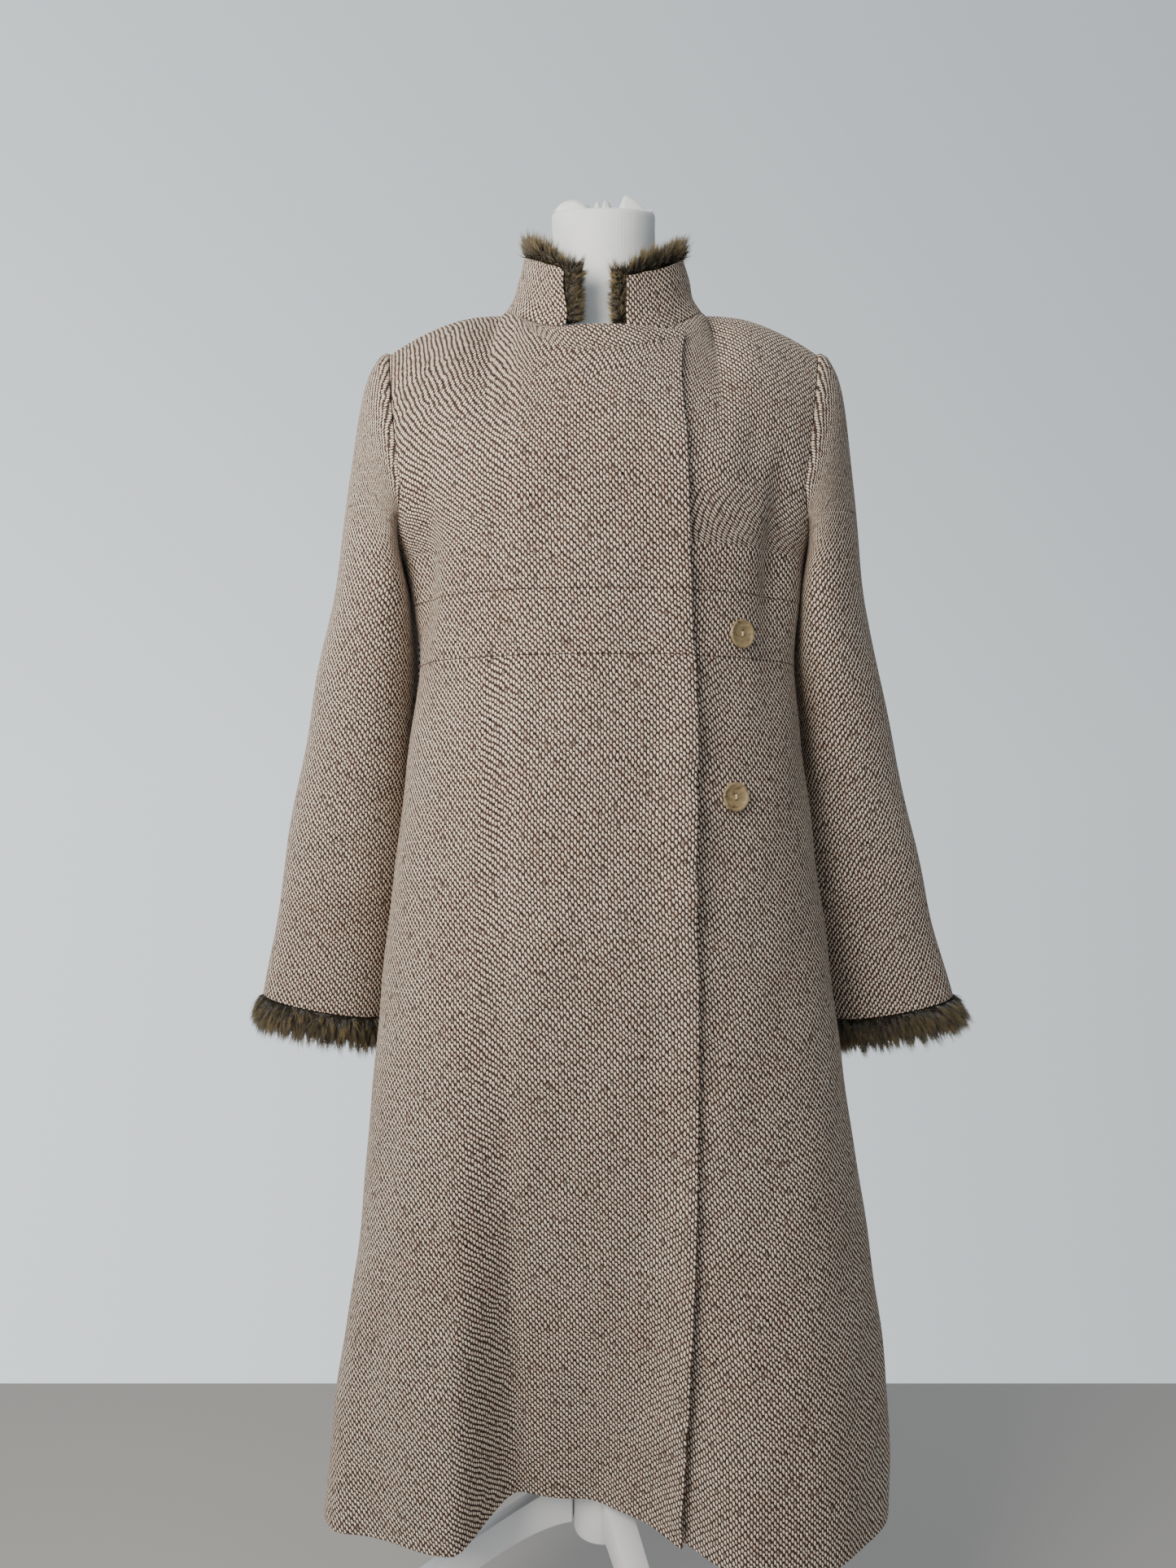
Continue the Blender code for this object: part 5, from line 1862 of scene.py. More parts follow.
@dataclass
class Collar:
    """Stand collar with its fur facing."""

    shape: CoatShape
    cloth: Material
    fur: Material
    skin: Material
    trees: FurTree
    fur_above: float = 0.020
    fur_past: float = 0.017
    fur_thick: float = 0.009
    fur_turn_radius: float = 0.086
    columns: int = 120
    lean_reach: float = 0.10
    side_reach: float = 0.16
    # lean of the front edge, dip at the side, its turn, dip at the front corner, its reach
    right_edge: tuple[float, ...] = (-0.0185, 0.05, 0.79, 0.05, 0.014)
    left_edge: tuple[float, ...] = (0.0061, 0.09, 0.21, 0.11, 0.050)

    def past_turn(self) -> float:
        """Turn by which the fur stands past a front edge."""
        return math.asin(self.fur_past / self.fur_turn_radius) / (2 * math.pi)

    def warp(self, turn: Array, height: Array) -> tuple[Array, Array]:
        """Leans the two front edges and dips the top edge at the sides and the front corners.

        Args:
            turn: Share of the way round the neck.
            height: Share of the collar's height.

        Returns:
            The changed turns and heights.
        """
        first, last = self.ends()
        right = turn > 0.5
        edges = zip(self.right_edge, self.left_edge)
        lean, side, middle, corner, reach = (np.where(right, a, b) for a, b in edges)
        inside = np.where(right, last - turn, turn - first)
        past = self.past_turn()
        fade = np.where(inside > 0, ease(1 - inside / self.lean_reach), np.maximum(1 + inside / past, 0.0))
        dip = side * ease(1 - np.abs(turn - middle) / self.side_reach) + corner * ease(1 - inside / reach)
        return turn + lean * fade * ease(height), height * (1 - dip)

    def point(self, turn: Array, height: Array) -> Array:
        """Outer face: turn 0 at the front, a quarter at the wearer's left.

        Args:
            turn: Share of the way round the neck.
            height: Share of the collar's height.

        Returns:
            Points.
        """
        turn, height = np.broadcast_arrays(turn, height)
        turn, height = self.warp(turn, height)
        side_axis, front, back = np.moveaxis(read_rows(COLLAR_SECTIONS, height), -1, 0)
        across, ahead = np.sin(2 * math.pi * turn), np.cos(2 * math.pi * turn)
        q = np.arcsin(np.clip(across, -1.0, 1.0)) / QUARTER
        seams = (self.shape.neckline(side, q)[..., 2] for side in Side)
        base = np.where(ahead >= 0, *seams)
        y = np.where(ahead >= 0, -front * ahead, -back * ahead)
        size = self.shape.sizes
        return stack(side_axis * across, y, base + size.seam + size.collar_height * height)

    def normal(self, turn: Array, height: Array) -> Array:
        """Outward unit normals.

        Args:
            turn: Share of the way round the neck.
            height: Share of the collar's height.

        Returns:
            Unit vectors.
        """
        around = self.point(turn + 0.0015, height) - self.point(turn - 0.0015, height)
        above, below = np.minimum(height + 0.01, 1.4), np.maximum(height - 0.01, 0.0)
        return unit(np.cross(around, self.point(turn, above) - self.point(turn, below)))

    def shift(self, turn: Array) -> Array:
        """The wearer's right half moves out with the lapped right front.

        Args:
            turn: Share of the way round the neck.

        Returns:
            Offsets.
        """
        share = self.shape.sizes.neck_share
        u = np.clip((turn - 1.0) * 4 * share, -share, share)
        top = np.full(u.shape, 3.0)
        point = self.shape.face("bodice", Side.FRONT)
        lift = self.shape.lap_lift(point(u, top)[..., 0])
        moved = self.shape.normal(point, Side.FRONT, u, top, 3.0) * lift[..., None]
        return np.where((turn > 0.75)[..., None], moved, 0.0)

    def turn_of(self, x: float) -> float:
        """Turn at the neckline where a front has the given x."""
        q = math.asin(x / self.shape.sizes.neck_x) / QUARTER / 4
        return q if x > 0 else 1.0 + q

    def ends(self) -> tuple[float, float]:
        """Turns of the collar's two front edges."""
        size = self.shape.sizes
        return self.turn_of(size.collar_edge_left), self.turn_of(size.collar_edge_right)

    def build_cloth(self) -> None:
        """Cloth of the collar."""
        first, last = self.ends()
        foot, top = (0.0, 0.006, 0.015, 0.03), (0.97, 0.985, 0.994, 1.0)
        height = np.concatenate((foot, np.linspace(0.06, 0.95, 16), top))
        middle = np.linspace(first + 0.006, last - 0.006, self.columns)
        edge = np.array((0.0, 0.0006, 0.0016, 0.0030))
        turn = np.concatenate((first + edge, middle, (last - edge)[::-1]))
        turn, height = np.meshgrid(turn, height)
        spot = self.point(turn, height) + self.shift(turn)
        normal = self.normal(turn, height)
        across, along = arc_lengths(spot, 1), arc_lengths(spot, 0)
        edges = SoftEdges(0.0008, FREE, FREE, FREE, free_top=True, free_first=True, free_last=True)
        fall_out, fall_in = edges.falls(across, along)
        lift = 0.0006 * np.sin(9.0 * 2 * math.pi * turn) * ease(height)
        lift = (lift + 0.0004 * np.sin(17 * turn + 6 * height)) * ease(height / 0.3)
        outer = spot + normal * (lift - fall_out)[..., None]
        inner = spot + normal * (lift - self.shape.sizes.cloth + fall_in)[..., None]
        level = len(height) // 2
        run = np.broadcast_to(across[level], across.shape)
        weave = np.stack((run, along + 1.4), -1)
        wall = ClothWall("collar", outer, inner, weave)
        item = wall.build(self.cloth)
        hang_cloth(item, wall, ("right_front_neck_band", "left_front_bodice", "back_bodice"))

    def build_fur(self) -> None:
        """Fur facing inside the collar, with hairs past its top and front edges."""
        first, last = self.ends()
        size = self.shape.sizes
        past = self.past_turn()
        rim = past * np.array((0.03, 0.18, 0.32, 0.46, 0.57, 0.62))
        turn = np.concatenate((first - rim[::-1], np.linspace(first + 0.01, last - 0.01, 90), last + rim))
        level = np.array((0.10, 0.22, 0.40, 0.60, 0.80, 0.92, 1.01, 1.12, 1.26, 1.40, 1.52, 1.58))
        turn, level = np.meshgrid(turn, level)
        beyond = np.maximum(np.maximum(first - turn, turn - last), 0.0) / past
        to_end = np.minimum(turn - (first - past), (last + past) - turn) / past
        reach = self.fur_above / size.collar_height * lerp(0.35, 1.0, ease(to_end / 3.0))
        above = np.maximum(level - 1.01, 0.0)
        height = np.minimum(level, 1.01) + reach * above
        spill = 0.0045 * np.maximum(ease(above * 2.2), ease((beyond - 0.03) * 2.2))
        tip = np.maximum(ease((above - 0.22) / 0.35), ease((beyond - 0.25) / 0.37))
        spot = self.point(turn, height) + self.shift(turn)
        normal = self.normal(turn, height)
        level_out = stack(normal[..., 0], normal[..., 1], 0.0)
        face = (size.cloth + size.seam) / np.linalg.norm(level_out, axis=-1)
        level_out = unit(level_out)
        outer = spot + level_out * (spill - face - 0.0035 * tip)[..., None]
        inner = spot - level_out * (face + self.fur_thick - 0.0010 - 0.0035 * tip)[..., None]
        across, along = arc_lengths(spot, 1), arc_lengths(spot, 0)
        wall = ClothWall("collar_fur", outer, inner, np.stack((across, along), -1))
        core = wall.build(self.skin)
        forward = unit(self.point(turn + 0.002, height) - self.point(turn - 0.002, height))
        sideways = np.where((turn < 0.5)[..., None], -forward, forward)
        up = np.array((0.0, 0.0, 1.0))
        to_side = ease(beyond * 1.6)[..., None]
        to_top = ease(above * 1.6 + 0.15)[..., None]
        comb = 0.25 * up + to_top * 0.85 * up + to_side * 0.75 * sideways + to_top * 0.25 * level_out
        shown = np.maximum(ease(above * 3.0), ease(beyond * 3.0))
        grow = np.concatenate(((0.06 + 0.94 * shown).reshape(-1), (0.30 + 0.45 * shown).reshape(-1)))
        grow[:turn.size] *= np.where(shown.reshape(-1) > 0.02, 1.0, 0.0)
        comb = np.concatenate((comb.reshape(-1, 3), comb.reshape(-1, 3)))
        length = np.where(shown > 0.3, 1.0 - 0.42 * to_side[..., 0] * (1 - to_top[..., 0]), 0.45)
        length = length * lerp(0.50, 1.0, ease(to_end / 3.2))
        mark_points(core.data, grow, comb, np.concatenate((length.reshape(-1), length.reshape(-1) * 0.6)))
        hairs = self.trees.grow("collar_fur_hairs", core, FurLook(19000, 0.0120, seed=5), self.fur)
        hang_cloth(core, wall, ("collar",), "fur")
        settle(hairs, "fur", "collar_fur")


@dataclass
class CuffFur:
    """Fur band round the end of a sleeve."""

    sleeve: Sleeve
    fur: Material
    skin: Material
    trees: FurTree
    # how far down from the cloth's end and how far out
    section: tuple[tuple[float, float], ...] = (
        (0.0010, -0.0020), (0.0030, 0.0010), (0.0080, 0.0030), (0.0140, 0.0035), (0.0195, 0.0018),
        (0.0225, -0.0018), (0.0195, -0.0058), (0.0110, -0.0072), (0.0020, -0.0060),
    )

    def build(self) -> None:
        """Builds the core and its hairs."""
        name = self.sleeve.hand.name.lower() + "_cuff_fur"
        phase = np.linspace(0.0, 1.0, 96, endpoint=False)
        end = np.full(phase.shape, 2.0)
        spot = self.sleeve.point(phase, end)
        down = unit(spot - self.sleeve.point(phase, end - 0.04))
        out = self.sleeve.normal(phase, end)
        wave = 0.0012 * np.sin(2 * math.pi * phase * 11) + 0.0009 * np.sin(2 * math.pi * phase * 23 + 1)
        rings = [spot + down * (d + wave * (d > 0.015))[:, None] + out * o for d, o in self.section]
        points = np.stack(rings) + CENTRE
        count = len(self.section)
        quads = grid_quads(count, len(phase), True, 0).tolist()
        around = len(phase)
        last = (count - 1) * around
        quads += [[last + j, last + (j + 1) % around, (j + 1) % around, j] for j in range(around)]
        mesh = bpy.data.meshes.new(name)
        mesh.from_pydata(points.reshape(-1, 3).tolist(), [], quads)
        data = bmesh.new()
        data.from_mesh(mesh)
        bmesh.ops.recalc_face_normals(data, faces=data.faces[:])
        data.to_mesh(mesh)
        data.free()
        mesh.shade_smooth()
        core = add_piece(name, mesh, self.skin)
        depth = np.array([d for d, _ in self.section])[:, None]
        inside = np.array([o < -0.003 and d < 0.022 for d, o in self.section])[:, None]
        grow = np.broadcast_to(np.where(inside, 0.35, 1.0), (count, len(phase)))
        comb = 1.15 * down[None] + 0.10 * out[None] * np.ones((count, 1, 1))
        reach = np.broadcast_to(np.where(inside, 0.7, 0.85 + 0.15 * (depth > 0.02)), (count, len(phase)))
        mark_points(mesh, grow.reshape(-1), comb.reshape(-1, 3), reach.reshape(-1))
        look = FurLook(19000, 0.0135, stand=0.45, seed=11 + self.sleeve.hand.value)
        hairs = self.trees.grow(name + "_hairs", core, look, self.fur)
        settle(core, "fur", name)
        settle(hairs, "fur", name)


@dataclass
class Button:
    """Two-hole button with a raised rim, sewn on with thread."""

    name: str
    shape: CoatShape
    part: str
    x: float
    z: float
    horn: Material
    thread: Material
    radius: float = 0.0135
    thick: float = 0.0042
    hole: float = 0.0013
    hole_away: float = 0.0024
    seat: float = 0.0009
    thread_radius: float = 0.00034
    thread_sides: int = 8
    # how far each strand lies beside the holes' line, and how much higher it arches
    strands: tuple[tuple[float, float], ...] = (
        (-0.0006, 0.0), (0.0, 0.00025), (0.0006, 0.0), (0.00030, 0.00045), (-0.00030, 0.00045),
    )

    def place(self) -> Matrix:
        """Turns and moves the button from its own axis onto the left front.

        Returns:
            The matrix.
        """
        point = self.shape.face(self.part, Side.FRONT)
        u, v = np.array((0.3,)), np.array((0.5,))
        for _ in range(6):
            v = solve(lambda level: point(u, level)[..., 2], self.z, np.zeros(1), np.ones(1))
            u = solve(lambda share: point(share, v)[..., 0], self.x, np.zeros(1), np.full(1, 0.95))
        normal = self.shape.normal(point, Side.FRONT, u, v, 1.0)[0]
        seat = point(u, v)[0] + normal * self.seat + CENTRE
        turn = Vector(normal).to_track_quat("Z", "X").to_matrix().to_4x4()
        return Matrix.Translation(Vector(seat)) @ turn

    def disc(self) -> Mesh:
        """Turned disc with a softened rim and a dished face, before it is drilled.

        Returns:
            The mesh.
        """
        r, t = self.radius, self.thick
        profile = (
            (0.0, 0.0002), (r * 0.70, 0.0), (r * 0.88, 0.0005), (r * 0.97, 0.0014), (r, 0.0022),
            (r, 0.0029), (r * 0.985, 0.0036), (r * 0.95, t * 0.97), (r * 0.90, t), (r * 0.84, t * 0.95),
            (r * 0.77, 0.0033), (r * 0.68, 0.0029), (r * 0.40, 0.0027), (0.0, 0.0026),
        )
        return mesh_from(turned(profile, 72), self.name)

    def drill(self, body: Object) -> Mesh:
        """Cuts the two holes and returns the finished mesh.

        Args:
            body: The undrilled button.

        Returns:
            The mesh.
        """
        bits = []
        for sign in (-1, 1):
            data = bmesh.new()
            bmesh.ops.create_cone(
                data, cap_ends=True, segments=24, radius1=self.hole, radius2=self.hole, depth=0.02,
            )
            bmesh.ops.translate(data, verts=data.verts[:], vec=(sign * self.hole_away, 0.0, 0.0))
            bit = link_object("drill", mesh_from(data, "drill"))
            cut = body.modifiers.new("Hole", "BOOLEAN")
            cut.operation, cut.object, cut.solver = "DIFFERENCE", bit, "EXACT"
            bits.append(bit)
        graph = bpy.context.evaluated_depsgraph_get()
        made = bpy.data.meshes.new_from_object(body.evaluated_get(graph))
        for bit in bits + [body]:
            bpy.data.objects.remove(bit)
        return made

    def build(self) -> None:
        """Builds the disc and the thread through its holes."""
        mesh = self.drill(link_object("blank", self.disc()))
        place = self.place()
        mesh.transform(place)
        mesh.shade_smooth()
        mesh.set_sharp_from_angle(angle=math.radians(45))
        settle(add_piece(self.name, mesh, self.horn), "horn", self.name)
        threads = self.sew()
        threads.transform(place)
        threads.shade_smooth()
        settle(add_piece(self.name + "_thread", threads, self.thread), "tweed")

    def sew(self) -> Mesh:
        """Strands of thread that arch from hole to hole through the button.

        Returns:
            The mesh.
        """
        data = bmesh.new()
        side = Vector((0, 1, 0))
        turns = np.linspace(0.0, 2 * math.pi, self.thread_sides, endpoint=False)
        for shift, lift in self.strands:
            rings = []
            for angle in np.linspace(0.0, math.pi, 17):
                height = 0.0004 + (0.0028 + lift) * math.sin(angle) ** 0.55
                centre = Vector((-self.hole_away * math.cos(angle), shift, height))
                ahead = Vector((math.sin(angle) + 1e-6, 0.0, math.cos(angle))).normalized()
                up = ahead.cross(side).normalized()
                spokes = [up * math.cos(a) + side * math.sin(a) for a in turns]
                rings.append([data.verts.new(centre + spoke * self.thread_radius) for spoke in spokes])
            bridge(data, rings)
            data.faces.new(rings[0][::-1])
            data.faces.new(rings[-1])
        bmesh.ops.recalc_face_normals(data, faces=data.faces[:])
        return mesh_from(data, self.name + "_thread")


@dataclass
class DressForm:
    """Torso and neck of the form under its jersey cover."""

    shape: CoatShape
    jersey: Material
    neck_radius: float = 0.0525
    neck_top: float = 1.562
    neck_tilt: float = 0.38
    foot: float = 0.860
    side_sweep: float = math.radians(80.0)
    chest_inset: float = 0.030
    clear: float = 0.0030
    corner_inset: float = 0.0040
    corner_reach: float = 0.20
    tie_reach: float = 0.050
    tie_wide: float = 0.020
    # share of the neck's radius and how far below the top
    rim: tuple[tuple[float, float], ...] = (
        (1.0, 0.0060), (0.997, 0.0042), (0.990, 0.0026), (0.978, 0.0012), (0.960, 0.0004),
        (0.94, 0.0), (0.70, -0.0002), (0.45, -0.0002), (0.2, -0.0002),
    )
    # x, y, reach to the left, reach to the right, reach front and back, height, swell
    lobes: tuple[tuple[float, ...], ...] = (
        (-0.030, -0.004, 0.0190, 0.0180, 0.016, 0.0122, 1.9),
        (-0.0055, 0.0, 0.0050, 0.0035, 0.010, 0.0112, 1.8),
        (0.0022, 0.0, 0.0048, 0.0068, 0.010, 0.0124, 1.8),
        (0.0220, 0.004, 0.0075, 0.0240, 0.014, 0.0190, 1.15),
    )
    # share of the way from the shoulder loop to the neck, and how far above the loop
    flare: tuple[tuple[float, float], ...] = (
        (0.20, 0.0004), (0.35, 0.001), (0.50, 0.0022), (0.65, 0.004), (0.76, 0.007), (0.85, 0.011),
        (0.94, 0.018), (1.0, 0.028),
    )

    def top_height(self, y: Array) -> Array:
        """Height of the neck's top, which tips forward."""
        return self.neck_top + self.neck_tilt * y

    def ring(self, side: Side, u: Array, z: Array) -> Array:
        """Half ring below the underarm."""
        x, y = self.shape.oval(side, u, self.side_sweep, read_rows(FORM_SECTIONS, z))
        return stack(x, y, z)

    def yoke(self, side: Side, u: Array, t: Array) -> Array:
        """From the chest line up, drawing close under the coat at the shoulders.

        Args:
            side: Front or back.
            u: Places across, -1 to 1.
            t: Share of the way up.

        Returns:
            Points.
        """
        size = self.shape.sizes
        point = self.shape.face("bodice", side)
        inset = lerp(self.chest_inset, size.cloth + self.clear, ease(t * 1.3))
        corner = np.maximum(1 - np.abs(np.abs(u) - size.neck_share) / self.corner_reach, 0.0)
        inset = inset + self.corner_inset * corner
        return point(u, 2.0 + t) - self.shape.normal(point, side, u, 2.0 + t, 3.0) * inset[..., None]

    def grid(self) -> tuple[Array, list[int]]:
        """Rings of the torso, and the columns of its last ring that carry the neck.

        Returns:
            The rings, and the columns' numbers.
        """
        share = self.shape.sizes.neck_share
        arm = np.linspace(share, 1.0, 9)[1:]
        u = np.concatenate((-arm[::-1], np.linspace(-share, share, 33), arm))
        rows = [(self.ring, z) for z in np.linspace(self.foot, self.shape.sizes.underarm, 22)]
        rows += [(self.yoke, t) for t in np.linspace(0.0, 1.0, 18)]
        rings = []
        for face, level in rows:
            levels = np.full(u.shape, level)
            rings.append(np.concatenate((face(Side.FRONT, u, levels), face(Side.BACK, -u, levels))))
        middle = [j for j, value in enumerate(u) if abs(value) <= share + 1e-9]
        return np.stack(rings), middle + [len(u) + j for j in middle]

    def neck_rings(self, base: Array) -> Array:
        """Neck from the shoulder loop up to its rounded top.

        Args:
            base: Loop of points where the neck starts.

        Returns:
            Rings of points.
        """
        flat = unit(base * np.array((1.0, 1.0, 0.0))) * self.neck_radius
        rings = []
        for share, rise in self.flare:
            spot = lerp(base, flat, share)
            spot[:, 2] = base[:, 2] + rise
            rings.append(spot)
        low = rings[-1][:, 2]
        angle = np.arctan2(base[:, 1], base[:, 0])
        for t in np.linspace(0.08, 1.0, 14):
            spot = flat * (1 + 0.004 * math.sin(9 * t) * np.cos(2 * angle + 3 * t))[:, None]
            spot[:, 2] = lerp(low, self.top_height(flat[:, 1]) - 0.0095, t)
            rings.append(spot)
        for scale, drop in self.rim:
            pleat = 0.0005 * np.sin(22 * angle) * (1 - scale) * 4
            spot = flat * scale
            spot[:, 2] = self.top_height(spot[:, 1]) - drop + np.minimum(pleat, 0.0)
            rings.append(spot)
        return np.stack(rings)

    def build(self) -> None:
        """Builds the torso and neck in one closed body."""
        rings, loop = self.grid()
        data = bmesh.new()
        torso = [[data.verts.new(p) for p in ring + CENTRE] for ring in rings]
        neck = [[torso[-1][j] for j in loop]]
        neck += [[data.verts.new(p) for p in ring + CENTRE] for ring in self.neck_rings(rings[-1][loop])]
        bridge(data, torso)
        bridge(data, neck)
        data.faces.new(torso[0][::-1])
        data.faces.new(neck[-1])
        bmesh.ops.remove_doubles(data, verts=data.verts[:], dist=0.0006)
        bmesh.ops.recalc_face_normals(data, faces=data.faces[:])
        mesh = mesh_from(data, "form_body")
        settle(add_piece("form_body", mesh, self.jersey), "jersey", "form_body")
        self.build_tie()

    def build_tie(self) -> None:
        """Gathered ends of the cover, tied on top of the neck."""
        end = self.tie_reach
        x, y = np.meshgrid(np.linspace(-end, end, 121), np.linspace(-1.0, 1.0, 41))
        wide = self.tie_wide * (1 - 0.55 * (x / end) ** 2)
        y = y * wide
        rise = np.full(x.shape, 0.0018)
        for centre_x, centre_y, left, right, reach_y, height, swell in self.lobes:
            reach = np.where(x < centre_x, left, right)
            away = np.minimum(np.hypot((x - centre_x) / reach, (y - centre_y) / reach_y), 1.0)
            rise = np.maximum(rise, height * (1 - away ** swell) ** (1 / swell))
        angle = np.arctan2(y, x)
        from_knot = np.hypot(x, y * 1.6)
        pleats = np.sin(13 * angle + 40 * from_knot) + 0.6 * np.sin(23 * angle + 1.0)
        rise = rise + 0.0005 * pleats * ease(from_knot / 0.010) * ease((end - from_knot) / 0.02)
        rise = np.maximum(rise, 0.0006) * ease((wide - np.abs(y)) / 0.003 + 0.25)
        floor = self.top_height(y) + self.shape.sizes.seam
        outer, inner = stack(x, y, floor + rise), stack(x, y, floor)
        wall = ClothWall("form_neck_tie", outer, inner, np.stack((x, y), -1))
        settle(wall.build(self.jersey), "jersey", "form_neck_tie")


@dataclass
class Stand:
    """Pole, hub and three plank legs."""

    paint: Material
    steel: Material
    hub_radius: float = 0.030
    hub_top: float = 0.286
    hub_foot: float = 0.222
    pole_radius: float = 0.0125
    pole_top: float = 0.8596
    plank: float = 0.025
    eased: float = 0.0012
    seam: float = 0.0004

    @staticmethod
    def bezier(a: Place, b: Place, c: Place, count: int) -> list[Place]:
        """Points of a quadratic curve.

        Args:
            a: Start.
            b: Point that the curve is drawn towards.
            c: End.
            count: Number of points.

        Returns:
            Its points.
        """
        ends = np.array((a, b, c))
        shares = np.linspace(0.0, 1.0, count)
        return [tuple(lerp(lerp(ends[0], ends[1], t), lerp(ends[1], ends[2], t), t)) for t in shares]

    def outline(self) -> list[Place]:
        """Side outline of a leg: distance from the pole and height.

        Returns:
            Its corners.
        """
        inner = self.hub_radius + self.seam
        upper = self.bezier((inner, 0.276), (0.120, 0.222), (0.298, 0.066), 40)
        toe = self.bezier((0.3035, 0.059), (0.313, 0.046), (0.313, 0.030), 7)
        sole = [(0.313, 0.006), (0.3115, 0.0018), (0.308, 0.0), (0.272, 0.0), (0.2685, 0.0018)]
        heel = [(0.266, 0.006), (0.264, 0.030)]
        lower = self.bezier((0.256, 0.052), (0.100, 0.215), (inner, 0.232), 40)
        return upper + toe + sole + heel + lower

    def build_leg(self, name: str, azimuth: float) -> None:
        """Sawn plank leg with its long edges eased.

        Args:
            name: Name of the piece.
            azimuth: Direction of the leg in degrees.
        """
        turn = math.radians(azimuth)
        ahead = Vector((math.cos(turn), math.sin(turn), 0.0))
        across = Vector((-ahead.y, ahead.x, 0.0)) * (self.plank / 2)
        data = bmesh.new()
        middle = [Vector(CENTRE) + ahead * r + Vector((0, 0, z)) for r, z in self.outline()]
        near = [data.verts.new(spot - across) for spot in middle]
        far = [data.verts.new(spot + across) for spot in middle]
        faces = [data.faces.new(near), data.faces.new(far[::-1])]
        for j in range(len(near)):
            k = (j + 1) % len(near)
            data.faces.new((near[k], near[j], far[j], far[k]))
        bmesh.ops.recalc_face_normals(data, faces=data.faces[:])
        rims = [edge for face in faces for edge in face.edges]
        bmesh.ops.bevel(data, geom=rims, offset=self.eased, segments=2, profile=0.5, affect="EDGES")
        settle(add_piece(name, mesh_from(data, name, 40.0), self.paint), "white_wood", name)

    def build_turned(self, name: str, slot: str, steps: int, profile: Sequence[Place]) -> None:
        """Round piece on the pole's axis.

        Args:
            name: Name of the piece.
            slot: Its material slot.
            steps: Flat faces round it.
            profile: Radii and heights.
        """
        material = self.paint if slot == "white_wood" else self.steel
        data = turned(profile, steps)
        bmesh.ops.translate(data, verts=data.verts[:], vec=Vector(CENTRE))
        settle(add_piece(name, mesh_from(data, name, 40.0), material), slot, name)

    def build(self) -> None:
        """Builds the whole stand."""
        r, low, high = self.hub_radius, self.hub_foot, self.hub_top
        self.build_turned("form_hub", "white_wood", 64, (
            (0.0, low), (r - 0.004, low), (r - 0.0012, low + 0.0012), (r, low + 0.004), (r, high - 0.012),
            (r - 0.001, high - 0.011), (r - 0.001, high - 0.009), (r, high - 0.008), (r, high - 0.004),
            (r - 0.0012, high - 0.0012), (r - 0.004, high), (0.0, high),
        ))
        p, top = self.pole_radius, self.pole_top
        foot = high + self.seam
        self.build_turned("form_pole", "steel", 48, (
            (0.0, foot), (p - 0.001, foot), (p, foot + 0.001), (p, foot + 0.260),
            (p - 0.0006, foot + 0.2605), (p - 0.0006, foot + 0.2625), (p, foot + 0.263),
            (p, top - 0.001), (p - 0.001, top), (0.0, top),
        ))
        for place, azimuth in (("front", -70.0), ("rear", 50.0), ("right", 170.0)):
            self.build_leg("form_leg_" + place, azimuth)


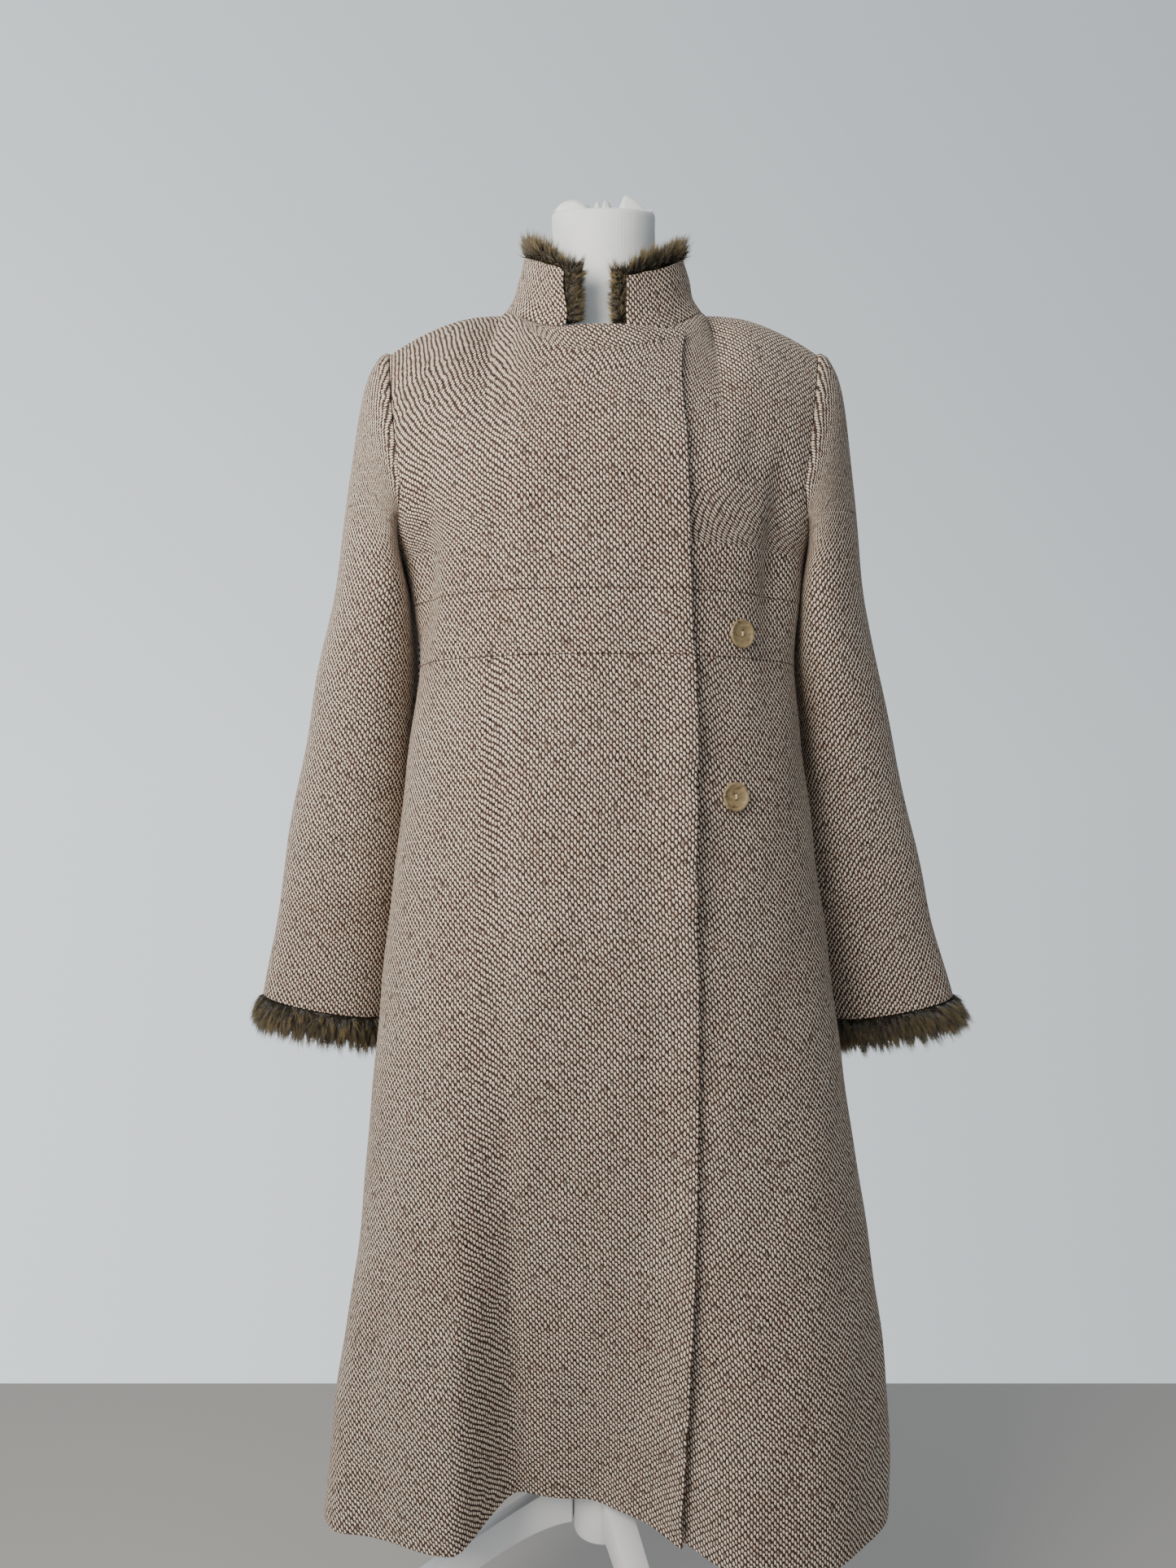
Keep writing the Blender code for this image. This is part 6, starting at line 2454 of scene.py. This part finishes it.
@dataclass
class Studio:
    """Camera, floor and soft light."""

    eye: tuple[float, float, float] = (-0.0226, -1.175, 0.98)
    lens: float = 27.03
    floor_corners: tuple[Place, Place] = ((-3.0, -3.0), (3.0, 0.75))
    # which axis of the view, from and to, level at each
    walls: tuple[tuple[float, ...], ...] = (
        (0, -0.56, 0.56, 1.42, 0.76), (0, 0.56, 0.90, 1.0, 0.30), (0, -0.95, -0.56, 0.8, 1.0),
        (1, -0.3, 0.4, 0.55, 1.0), (2, 0.0, 0.8, 1.0, 0.66),
    )

    def build(self) -> None:
        """Sets up the scene round the part."""
        camera = link_object("camera", bpy.data.cameras.new("camera"))
        camera.location = self.eye
        camera.rotation_euler = (QUARTER, 0.0, 0.0)
        camera.data.lens = self.lens
        camera.data.sensor_width = 36.0
        camera.data.clip_start = 0.01
        bpy.context.scene.camera = camera
        self.floor()
        key, fill = srgb(255, 246, 234), srgb(244, 248, 255)
        self.lamp("key", ((-1.05, -1.30, 1.75), (0.0, 0.0, 1.30)), 1.1, 42.0, key)
        self.lamp("fill", ((0.7, -2.7, 2.0), (0.0, 0.0, 1.25)), 2.2, 10.0, fill)
        self.room()

    def room(self) -> None:
        """Pale walls as a world that is brighter on the left, where the window is."""
        world = bpy.data.worlds.new("studio")
        world.use_nodes = True
        work = NodeWork(world.node_tree)
        parts = work.node("ShaderNodeSeparateXYZ", None, {0: work.wire("ShaderNodeTexCoord", out="Object")})
        level = None
        for axis, low, high, at_low, at_high in self.walls:
            ramp = work.wire("ShaderNodeMapRange", None, {
                "Value": Wire(work, parts.outputs[axis]), "From Min": low, "From Max": high,
                "To Min": at_low, "To Max": at_high,
            })
            level = ramp if level is None else level * ramp
        sky = work.tree.nodes["Background"]
        work.feed(sky.inputs[0], srgb(240, 248, 253))
        work.feed(sky.inputs[1], level)
        bpy.context.scene.world = world

    def floor(self) -> None:
        """Plain pale floor."""
        data = bmesh.new()
        (left, front), (right, back) = self.floor_corners
        corners = ((left, front), (right, front), (right, back), (left, back))
        data.faces.new([data.verts.new((x, y, 0.0)) for x, y in corners])
        s = Shader("floor")
        s.set(Base_Color=srgb(176, 172, 168), Roughness=0.8)
        add_piece("floor", mesh_from(data, "floor"), s.material)

    def lamp(
        self, name: str, ray: Sequence[Sequence[float]], size: float, power: float, colour: Colour,
    ) -> None:
        """Soft square lamp aimed at a point.

        Args:
            name: Name of the lamp.
            ray: Where it stands and the point that it is aimed at.
            size: Length of its sides.
            power: Its power in watts.
            colour: Colour of its light.
        """
        light = bpy.data.lights.new(name, "AREA")
        light.size, light.energy, light.color = size, power, colour
        item = link_object(name, light)
        place, aim = (Vector(spot) for spot in ray)
        item.location = place
        item.rotation_euler = (aim - place).to_track_quat("-Z", "Y").to_euler()


def main() -> None:
    """Builds the scene in order."""
    logging.basicConfig(level=logging.INFO, format="%(name)s %(message)s")
    shape = CoatShape(CoatSizes())
    tweed = Tweed().material()
    fur = Fur()
    hairs, skin = fur.hairs(), fur.skin()
    horn, thread = Horn().material(), Thread().material()
    trees = FurTree()
    Studio().build()
    CoatBody(shape, tweed).build()
    for hand, table in ((Hand.RIGHT, RIGHT_SLEEVE), (Hand.LEFT, LEFT_SLEEVE)):
        sleeve = Sleeve(shape, hand, table, tweed)
        sleeve.build()
        CuffFur(sleeve, hairs, skin, trees).build()
    collar = Collar(shape, tweed, hairs, skin, trees)
    collar.build_cloth()
    collar.build_fur()
    Button("upper_button", shape, "band", 0.1252, 1.1188, horn, thread).build()
    Button("lower_button", shape, "skirt", 0.1179, 0.9680, horn, thread).build()
    DressForm(shape, Jersey().material()).build()
    Stand(PaintedWood().material(), BrushedSteel().material()).build()


if __name__ == "__main__":
    main()
